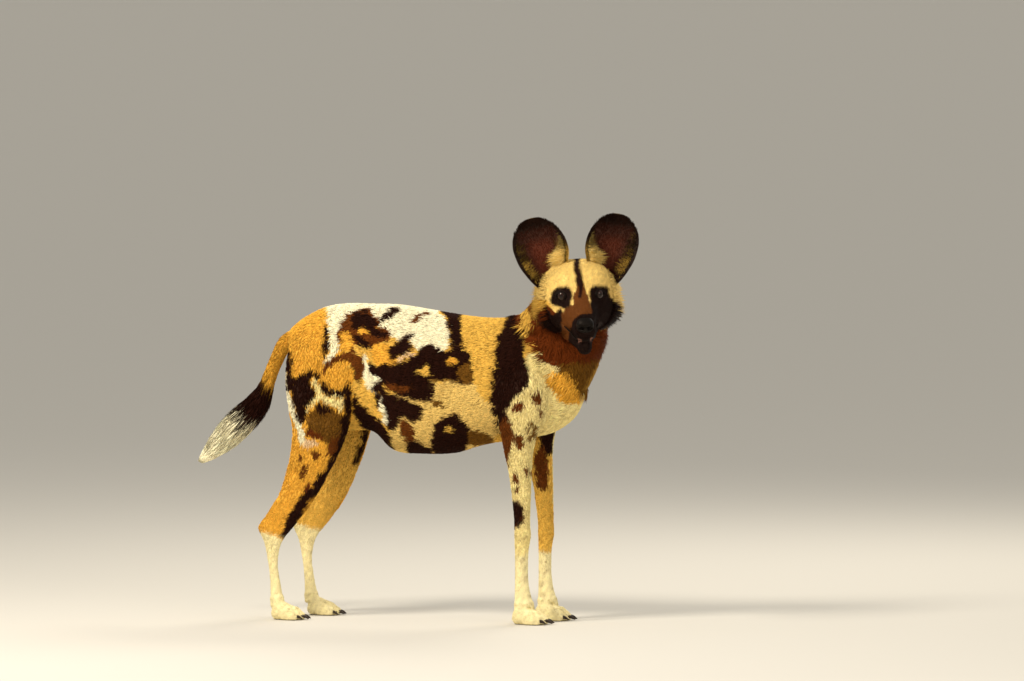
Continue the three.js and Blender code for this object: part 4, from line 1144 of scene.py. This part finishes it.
def earColour(share, s, inside):
    rim = np.maximum(eased(np.abs(s), *earMarks["rimAcross"]), eased(share, *earMarks["rimUp"]))
    base = np.tile(linear(earInside if inside else darkBrown), (len(share), 1))
    if inside:
        warm = (1 - eased(share, *earMarks["warmUp"])) * (1 - eased(np.abs(s), *earMarks["warmAcross"]))
        base = toward(base, earFlesh, earMarks["warm"] * warm)
        low = (1 - eased(share, *earMarks["lowUp"])) * eased(-s, *earMarks["lowAcross"]) * earMarks["low"]
        base = toward(base, tan, low)
        rim = rim * (1 - low * earMarks["lowRim"])
    else:
        pale = (1 - eased(share, *earMarks["paleUp"])) * earMarks["pale"]
        base = toward(base, tan, pale)
        rim = rim * (1 - pale)
    return toward(base, maskBlack, rim)


def earMesh(side, name):
    places = placesOf(earRows, earSizes["rowSteps"])
    count, sides = len(places), earSizes["sides"]
    grid, s = np.repeat(places, sides), np.tile(np.linspace(-1, 1, sides), count)
    edge = np.sqrt(np.clip(1 - np.abs(s) ** earSizes["edgePower"], 0, 1))
    frontDepth = earSizes["half"] - earSizes["front"] * edge
    backDepth = earSizes["half"] + earSizes["back"] * edge
    front = earPoint(grid, s, frontDepth, earSizes["inset"]).reshape(count, sides, 3)
    back = earPoint(grid, s, backDepth, earSizes["inset"]).reshape(count, sides, 3)[:, ::-1]
    rings = np.concatenate([front, back], 1)
    rings[..., 1] *= side
    points, triangles = closedSurface(fromHead(rings))
    share = rowsAt(earRows, grid)[:, 0]
    inner = earColour(share, s, True).reshape(count, sides, 3)
    outer = earColour(share, s, False).reshape(count, sides, 3)[:, ::-1]
    colours = np.concatenate([inner, outer], 1).reshape(-1, 3)
    return meshObject(name, points, triangles, np.concatenate([colours, colours[:2]]))


ears = [earMesh(1, "ear_cup_left"), earMesh(-1, "ear_cup_right")]
earHairSizes = {"inset": 1.5, "frontDepth": 0.2, "chart": (0.1, 0.35, 0.5, .56, .05, 7)}


# Hair in and on the ears: rooted on the cup, leaning the way that the piece says.
def earHair(name, side, place, s, depth, lean, length, width, colours, lift):
    roots = earPoint(place, s, depth, earHairSizes["inset"])
    across, up, ahead = earBasis(rowsAt(earRows, place)[:, 0])
    face = ahead if depth < earHairSizes["inset"] else -ahead
    direction = across * lean[:, 0:1] + up * lean[:, 1:2] + face * lift[:, None]
    tips = roots + direction / np.linalg.norm(direction, axis=1, keepdims=True) * length[:, None]
    flip = np.array([1, side, 1])
    left, wide, apart, low, high, chartRows = earHairSizes["chart"]
    uv = np.stack([left + wide * (s + 1) / 2 + (apart if side > 0 else 0), low + high * place / chartRows], 1)
    normals = (face * flip) @ headTurned.T
    strands(name, fromHead(roots * flip), fromHead(tips * flip), normals, width, colours, uv)


# Ranges and spreads of the hair; places are in rows up the ear, and s is across it.
fringe = {
    "hairs": 1500, "places": (1.0, 3.5, 1.7, 2.6), "fullest": (2.2, 0.95),
    "across": (-0.9, 1.1, 2.0, 0.12, 0.5),
    "inward": (0.6, 1.0), "upward": (0.16, 0.36), "cream": 0.75, "dim": (0.22, 0.78), "dimSpread": (0.6, 1.4),
    "dimEdge": (0.15, 0.75), "shade": (0.65, 1.1), "long": (7, 19), "longSpread": (0.45, 1.25),
    "wide": (0.7, 1.2),
    "lift": (0.2, 0.7),
}
outerFringe = {
    "hairs": 420, "places": (1.2, 3.4, 1.6, 1.9), "across": (0.93, 0.34, 1.0, 2.2), "inward": (0.5, 1.0),
    "upward": (0.4, 0.3), "dim": (0.12, 0.5), "patches": (24, 9, 7.0), "patchNoise": (30, 44),
    "dimEdge": (-0.6, 0.7),
    "fade": (0.8, 2.9, 3.8), "shade": (0.5, 1.1), "long": (5, 14), "wide": (0.5, 0.9), "lift": (0.1, 0.3),
}
closeHair = {
    "back": (3900, 2.5), "inner": (2800, 0.3), "places": (0.6, 6.75), "across": (-0.97, 0.97), "stray": 0.2,
    "shade": (0.8, 1.25), "long": (4, 8), "tipShort": (0.5, 5.8, 6.7), "wide": 1.4, "lift": 0.16,
}
for side, word in ((1, "left"), (-1, "right")):
    # The fringe: pale hair from the inner side of the cup, reaching over its hollow and thinning upwards.
    count = int(fringe["hairs"] * thin)
    start, spread, first, second = fringe["places"]
    place = start + spread * rng.beta(first, second, count)
    middlePlace, reach = fringe["fullest"]
    centred = np.exp(-(((place - middlePlace) / reach) ** 2))
    start, first, second, narrow, spread = fringe["across"]
    s = start + rng.beta(first, second, count) * (narrow + spread * centred)
    lean = np.stack([rng.uniform(*fringe["inward"], count), rng.normal(*fringe["upward"], count)], 1)
    tint = np.where(rng.random(count)[:, None] < fringe["cream"], linear(faceCream)[None], linear(tan)[None])
    least, gain = fringe["dim"]
    dim = least + gain * eased(centred * rng.uniform(*fringe["dimSpread"], count), *fringe["dimEdge"])
    dim = dim * rng.uniform(*fringe["shade"], count)
    short, gain = fringe["long"]
    long = (short + gain * centred) * rng.uniform(*fringe["longSpread"], count)
    wide, lift = rng.uniform(*fringe["wide"], count), rng.uniform(*fringe["lift"], count)
    depth = earHairSizes["frontDepth"]
    earHair(f"ear_fringe_{word}", side, place, s, depth, lean, long, wide, tint * dim[:, None], lift)
    # Thinner hair from the outer side, in patches.
    count = int(outerFringe["hairs"] * thin)
    start, spread, first, second = outerFringe["places"]
    place = start + spread * rng.beta(first, second, count)
    start, spread, first, second = outerFringe["across"]
    s = start - spread * rng.beta(first, second, count)
    inward, upward = rng.uniform(*outerFringe["inward"], count), rng.normal(*outerFringe["upward"], count)
    lean = np.stack([-inward, upward], 1)
    least, gain = outerFringe["dim"]
    alongEar, acrossEar, apart = outerFringe["patches"]
    patchPoints = np.stack([place * alongEar, s * acrossEar, np.full(count, apart * side)], 1)
    dim = least + gain * eased(noise(patchPoints, *outerFringe["patchNoise"]), *outerFringe["dimEdge"])
    fade, *fadeEdge = outerFringe["fade"]
    dim = dim * (1 - fade * eased(place, *fadeEdge))
    long, wide = rng.uniform(*outerFringe["long"], count), rng.uniform(*outerFringe["wide"], count)
    tint = linear(tan) * (dim * rng.uniform(*outerFringe["shade"], count))[:, None]
    lift = rng.uniform(*outerFringe["lift"], count)
    earHair(f"ear_outer_fringe_{word}", side, place, s, depth, lean, long, wide, tint, lift)
    # Short fur on the back and in the cup.
    for kind in ("back", "inner"):
        amount, depth = closeHair[kind]
        count = int(amount * thin)
        place = rng.uniform(*closeHair["places"], count)
        s = rng.uniform(*closeHair["across"], count)
        lean = np.stack([rng.normal(0, closeHair["stray"], count), np.ones(count)], 1)
        tint = earColour(rowsAt(earRows, place)[:, 0], s, kind == "inner")
        tint = tint * rng.uniform(*closeHair["shade"], count)[:, None]
        shorter, *tipEdge = closeHair["tipShort"]
        long = rng.uniform(*closeHair["long"], count) * (1 - shorter * eased(place, *tipEdge))
        wide, lift = np.full(count, closeHair["wide"] * finer), np.full(count, closeHair["lift"])
        earHair(f"ear_{kind}_{word}", side, place, s, depth, lean, long, wide, tint, lift)

# Eyes: a ball with a dark iris, in degrees from its pole, and a lid ring round the opening, thicker above.
irisBrown, eyeWhite, pupilBlack = (40, 18, 8), (22, 13, 9), (6, 4, 4)
eyeSizes = {
    "rings": 40, "sides": 48, "poleGap": 0.02,
    "out": (0.82, 0.55, 0.12), "ahead": (1.0, 0.08, 0.0), "outShare": 0.55,
    "pupil": (12, 15), "iris": (16, 34), "irisDim": 0.55, "white": (40, 44),
}
lidSizes = {"turns": 64, "sides": 14, "half": (11.6, 7.0), "ahead": (6.2, 1.5), "thick": (2.6, 1.0)}


def sphereRings(centre, radius, pole):
    pole = np.array(pole, float) / np.linalg.norm(pole)
    side = np.cross([0, 0, 1], pole)
    side /= np.linalg.norm(side)
    top = np.cross(pole, side)
    gap, count, sides = eyeSizes["poleGap"], eyeSizes["rings"], eyeSizes["sides"]
    polar = np.linspace(gap, math.pi - gap, count)[:, None, None]
    turn = (np.arange(sides) / sides * fullTurn)[None, :, None]
    ring = np.cos(polar) * pole + np.sin(polar) * (np.cos(turn) * side + np.sin(turn) * top)
    return centre + ring * radius, np.broadcast_to(np.degrees(polar[..., 0]), (count, sides)).ravel()


# Quads of a tube that closes on itself both ways.
def closedTube(count, sides):
    i, j = np.meshgrid(np.arange(count), np.arange(sides), indexing="ij")
    a, b = i * sides + j, i * sides + (j + 1) % sides
    c, d = (i + 1) % count * sides + (j + 1) % sides, (i + 1) % count * sides + j
    return np.stack([a, b, c, d], 2).reshape(-1, 4)


outLook = np.array(eyeSizes["out"])
outLook /= np.linalg.norm(outLook)
acrossEye = np.cross([0, 0, 1], outLook)
acrossEye /= np.linalg.norm(acrossEye)
upEye = np.cross(outLook, acrossEye)
eyes, lids = [], []
for side, word in ((1, "left"), (-1, "right")):
    flip = np.array([1, side, 1])
    gaze = outLook * eyeSizes["outShare"] + np.array(eyeSizes["ahead"]) * (1 - eyeSizes["outShare"])
    rings, polar = sphereRings(eyeCentre * flip, eyeRadius, gaze * flip)
    points, triangles = closedSurface(fromHead(rings))
    light = eyeSizes["irisDim"] + (1 - eyeSizes["irisDim"]) * eased(polar, *eyeSizes["iris"])
    shade = toward(linear(irisBrown)[None] * light[:, None], eyeWhite, eased(polar, *eyeSizes["white"]))
    shade = toward(shade, pupilBlack, 1 - eased(polar, *eyeSizes["pupil"]))
    shade = np.concatenate([shade, shade[:1], shade[-1:]])
    eyes.append(meshObject(f"eye_ball_{word}", points, triangles, shade))
    turn = (np.arange(lidSizes["turns"]) / lidSizes["turns"] * fullTurn)[:, None]
    halfAcross, halfUp = lidSizes["half"]
    out = acrossEye * np.cos(turn) * halfAcross + upEye * np.sin(turn) * halfUp
    ahead, bow = lidSizes["ahead"]
    middle = eyeCentre + outLook * (ahead + bow * np.cos(2 * turn)) + out
    outward = out / np.linalg.norm(out, axis=1, keepdims=True)
    section = (np.arange(lidSizes["sides"]) / lidSizes["sides"] * fullTurn)[None, :, None]
    thick, above = lidSizes["thick"]
    heavy = (thick + above * np.clip(np.sin(turn), 0, 1))[:, :, None]
    rings = middle[:, None] + outward[:, None] * np.cos(section) * heavy + outLook * np.sin(section) * heavy
    quads = closedTube(*rings.shape[:2])[:, ::side]
    triangles = np.concatenate([quads[:, [0, 1, 2]], quads[:, [0, 2, 3]]])
    lids.append(meshObject(f"lid_ring_{word}", fromHead(rings * flip).reshape(-1, 3), triangles))

# The nose: a rounded pad with two comma-shaped nostrils pressed in and a groove down its front.
noseSizes = {
    "rowSteps": 22, "sides": 120, "nostrils": (((216, 8.4, -6.5), 4.4, 9.0), ((212, 13.0, -8.5), 3.6, 5.0)),
    "outwards": 0.35, "groove": 1.4, "grooveHalf": 1.3, "grooveTop": 2, "grooveFrom": (208, 214),
}
noseAngles = (np.arange(noseSizes["sides"]) + 0.5) / noseSizes["sides"] * fullTurn
rings = oval(rowsAt(noseRows, placesOf(noseRows, noseSizes["rowSteps"])), noseAngles, 0, nosePower)
nosePoints, noseTriangles = closedSurface(rings)
for side in (1, -1):
    for centre, reach, deep in noseSizes["nostrils"]:
        distance = np.linalg.norm(nosePoints - np.array(centre) * [1, side, 1], axis=1)
        pressed = deep * np.exp(-((distance / reach) ** 2))
        nosePoints -= np.array([1.0, noseSizes["outwards"] * side, 0.0]) * pressed[:, None]
groove = np.exp(-((nosePoints[:, 1] / noseSizes["grooveHalf"]) ** 2))
groove = groove * (nosePoints[:, 2] < noseSizes["grooveTop"])
nosePoints[:, 0] -= noseSizes["groove"] * groove * eased(nosePoints[:, 0], *noseSizes["grooveFrom"])
nose = meshObject("nose_pad", fromHead(nosePoints), noseTriangles)

# The lips: a soft tube along the line of the mouth on both sides.
lipSizes = {"steps": 90, "rounds": 4, "sides": 12, "half": (2.4, 2.0), "end": 0.25, "endPower": 0.4}
line = np.array(lipLine + [[x, -y, z] for x, y, z in lipLine[-2::-1]], float)
places = np.linspace(0, len(line) - 1, lipSizes["steps"])
k = np.minimum(places.astype(int), len(line) - 2)
t = (places - k)[:, None]
path = line[k] * (1 - t) + line[k + 1] * t
for _ in range(lipSizes["rounds"]):
    path[1:-1] = (path[:-2] + path[1:-1] * 2 + path[2:]) / 4
along = np.gradient(path, axis=0)
along[:, 2] = 0
along /= np.linalg.norm(along, axis=1, keepdims=True)
side = np.stack([along[:, 1], -along[:, 0], np.zeros(len(along))], 1)
section = (np.arange(lipSizes["sides"]) / lipSizes["sides"] * fullTurn)[None, :, None]
ends = np.linspace(lipSizes["end"], math.pi - lipSizes["end"], len(path))
taper = np.sin(ends)[:, None, None] ** lipSizes["endPower"]
halfAcross, halfUp = lipSizes["half"]
rings = path[:, None] + side[:, None] * np.cos(section) * halfAcross * taper
rings = rings + np.array([0, 0, 1]) * np.sin(section) * halfUp * taper
lips = meshObject("lips", *closedSurface(fromHead(rings)))

# The claws: one small loft for each toe.
clawSizes = {"rowSteps": 10, "sides": 16}
clawAngles = (np.arange(clawSizes["sides"]) + 0.5) / clawSizes["sides"] * fullTurn
clawParts = []
for _, pawX, pawY, size in legs:
    for spread, back in toes:
        claw = pawPlaced(clawRows, pawX, pawY, size, spread * size, back)
        clawPlaces = placesOf(claw, clawSizes["rowSteps"])
        clawParts.append(closedSurface(oval(rowsAt(claw, clawPlaces), clawAngles, 0, clawPower)))
claws = meshObject("claws", *joined(clawParts))
print("small parts made")

# How each surface looks; a bump is its scale, strength and distance.
looks = {
    "skinCoat": {"roughness": 0.8, "specular": 0.2, "bump": (700, 0.5, 0.001)},
    "hair": {"roughness": 0.62, "specular": 0.06},
    "earSkin": {"roughness": 0.7, "specular": 0.25, "bump": (500, 0.3, 0.0008)},
    "eyeWet": {"roughness": 0.08, "specular": 0.18, "wet": 0.3},
    "lidSkin": {"roughness": 0.65, "specular": 0.1, "colour": (14, 7, 5), "bump": (900, 0.3, 0.0005)},
    "noseLeather": {"roughness": 0.48, "specular": 0.11, "colour": (9, 5, 4), "bump": (1500, 0.5, 0.0005)},
    "clawHorn": {"roughness": 0.4, "specular": 0.4, "colour": (38, 28, 22), "bump": (400, 0.2, 0.0004)},
    "floorPale": {"roughness": 0.9, "specular": 0.1, "colour": (213, 208, 197)},
}
shineTint = (1.0, 0.84, 0.68, 1.0)
wetRoughness, grainDetail = 0.05, 4


def material(name):
    sizes = looks[name]
    made = bpy.data.materials.new(name)
    made.use_nodes = True
    nodes, links = made.node_tree.nodes, made.node_tree.links
    shader = nodes["Principled BSDF"]
    shader.inputs["Roughness"].default_value = sizes["roughness"]
    shader.inputs["Specular IOR Level"].default_value = sizes["specular"]
    shader.inputs["Specular Tint"].default_value = shineTint
    shader.inputs["Coat Weight"].default_value = sizes.get("wet", 0)
    shader.inputs["Coat Roughness"].default_value = wetRoughness
    if "colour" in sizes:
        shader.inputs["Base Color"].default_value = (*linear(sizes["colour"]), 1)
    else:
        attribute = nodes.new("ShaderNodeAttribute")
        attribute.attribute_name = "coat"
        links.new(attribute.outputs["Color"], shader.inputs["Base Color"])
    if "bump" in sizes:
        scale, strength, distance = sizes["bump"]
        place = nodes.new("ShaderNodeTexCoord")
        grain = nodes.new("ShaderNodeTexNoise")
        grain.inputs["Scale"].default_value = scale
        grain.inputs["Detail"].default_value = grainDetail
        relief = nodes.new("ShaderNodeBump")
        relief.inputs["Strength"].default_value = strength
        relief.inputs["Distance"].default_value = distance
        links.new(place.outputs["Object"], grain.inputs["Vector"])
        links.new(grain.outputs["Fac"], relief.inputs["Height"])
        links.new(relief.outputs["Normal"], shader.inputs["Normal"])
    return made


materials = {name: material(name) for name in looks}


def finished(piece, look, nodes=()):
    piece.data.materials.clear()
    piece.data.materials.append(materials[look])
    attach(piece, "root")
    if nodes:
        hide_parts(*nodes)


clawNodes = [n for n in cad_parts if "_claw_" in n]
separate = {"nose", "eye_left", "eye_right", "ear_left", "ear_right", *clawNodes}
finished(flesh, "skinCoat", [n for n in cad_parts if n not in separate])
for piece in coatPieces:
    kind = "tail_hair" if piece.name == "coat_tail" else "ear" if "ear_" in piece.name else "coat"
    finished(piece, "hair")
for piece, node in zip(ears, ("ear_left", "ear_right")):
    finished(piece, "earSkin", [node])
for piece, node in zip(eyes, ("eye_left", "eye_right")):
    finished(piece, "eyeWet", [node])
for piece in lids:
    finished(piece, "lidSkin")
finished(nose, "noseLeather", ["nose"])
finished(lips, "lidSkin")
finished(claws, "clawHorn", clawNodes)

# The floor, the light and the camera.
floorSize = 3000
bpy.ops.mesh.primitive_plane_add(size=floorSize, location=(0, 0, 0))
floor = bpy.context.object
floor.name = "floor"
floor.data.materials.append(materials["floorPale"])
skyColour, skyStrength = (0.92, 0.90, 0.86, 1), 0.62
world = bpy.data.worlds.new("studio")
bpy.context.scene.world = world
world.use_nodes = True
sky = world.node_tree.nodes["Background"].inputs
sky["Color"].default_value = skyColour
sky["Strength"].default_value = skyStrength

# Soft round lights, placed in m from the middle of the body, which they face.
lightSizes = {
    "key": {"place": (-1.2, -2.2, 2.6), "size": 1.1, "power": 118, "colour": (1, 0.93, 0.82)},
    "fill": {"place": (2.6, -2.4, 1.2), "size": 2.0, "power": 24, "colour": (1, 0.95, 0.88)},
    "rim": {"place": (0.8, 2.4, 2.2), "size": 1.4, "power": 46, "colour": (1, 0.94, 0.84)},
}
bodyHeight = 430
target = Vector(inRow([0, 0, bodyHeight]))
for name, sizes in lightSizes.items():
    lamp = bpy.data.lights.new(name, "AREA")
    lamp.shape = "DISK"
    lamp.size = sizes["size"]
    lamp.energy = sizes["power"]
    lamp.color = sizes["colour"]
    made = bpy.data.objects.new(name, lamp)
    bpy.context.scene.collection.objects.link(made)
    made.location = target + Vector(sizes["place"])
    made.rotation_mode = "QUATERNION"
    made.rotation_quaternion = (target - made.location).to_track_quat("-Z", "Y")

# The photo is so many steps of the markings' plane wide and high.
pictureWide, pictureHigh = 1024, 681
cameraDistance, sensorWidth, farthest = 20.0, 36, 6000
cameraData = bpy.data.cameras.new("camera")
camera = bpy.data.objects.new("camera", cameraData)
bpy.context.scene.collection.objects.link(camera)
bpy.context.scene.camera = camera
cameraData.sensor_width = sensorWidth
cameraData.lens = sensorWidth * cameraDistance / (pictureWide * markStep * mm)
cameraData.clip_end = farthest
acrossPicture = (pictureWide / 2 - markLeft) * markStep
upPicture = (markTop - pictureHigh / 2) * markStep
aim = cameraRight * acrossPicture + cameraUp * upPicture
camera.location = Vector(inRow(aim)) + Vector(toCamera) * cameraDistance
camera.rotation_mode = "QUATERNION"
camera.rotation_quaternion = (-Vector(toCamera)).to_track_quat("-Z", "Y")

# Colours are shown as they are lit, with no film curve over them.
bpy.context.scene.view_settings.view_transform = "Standard"
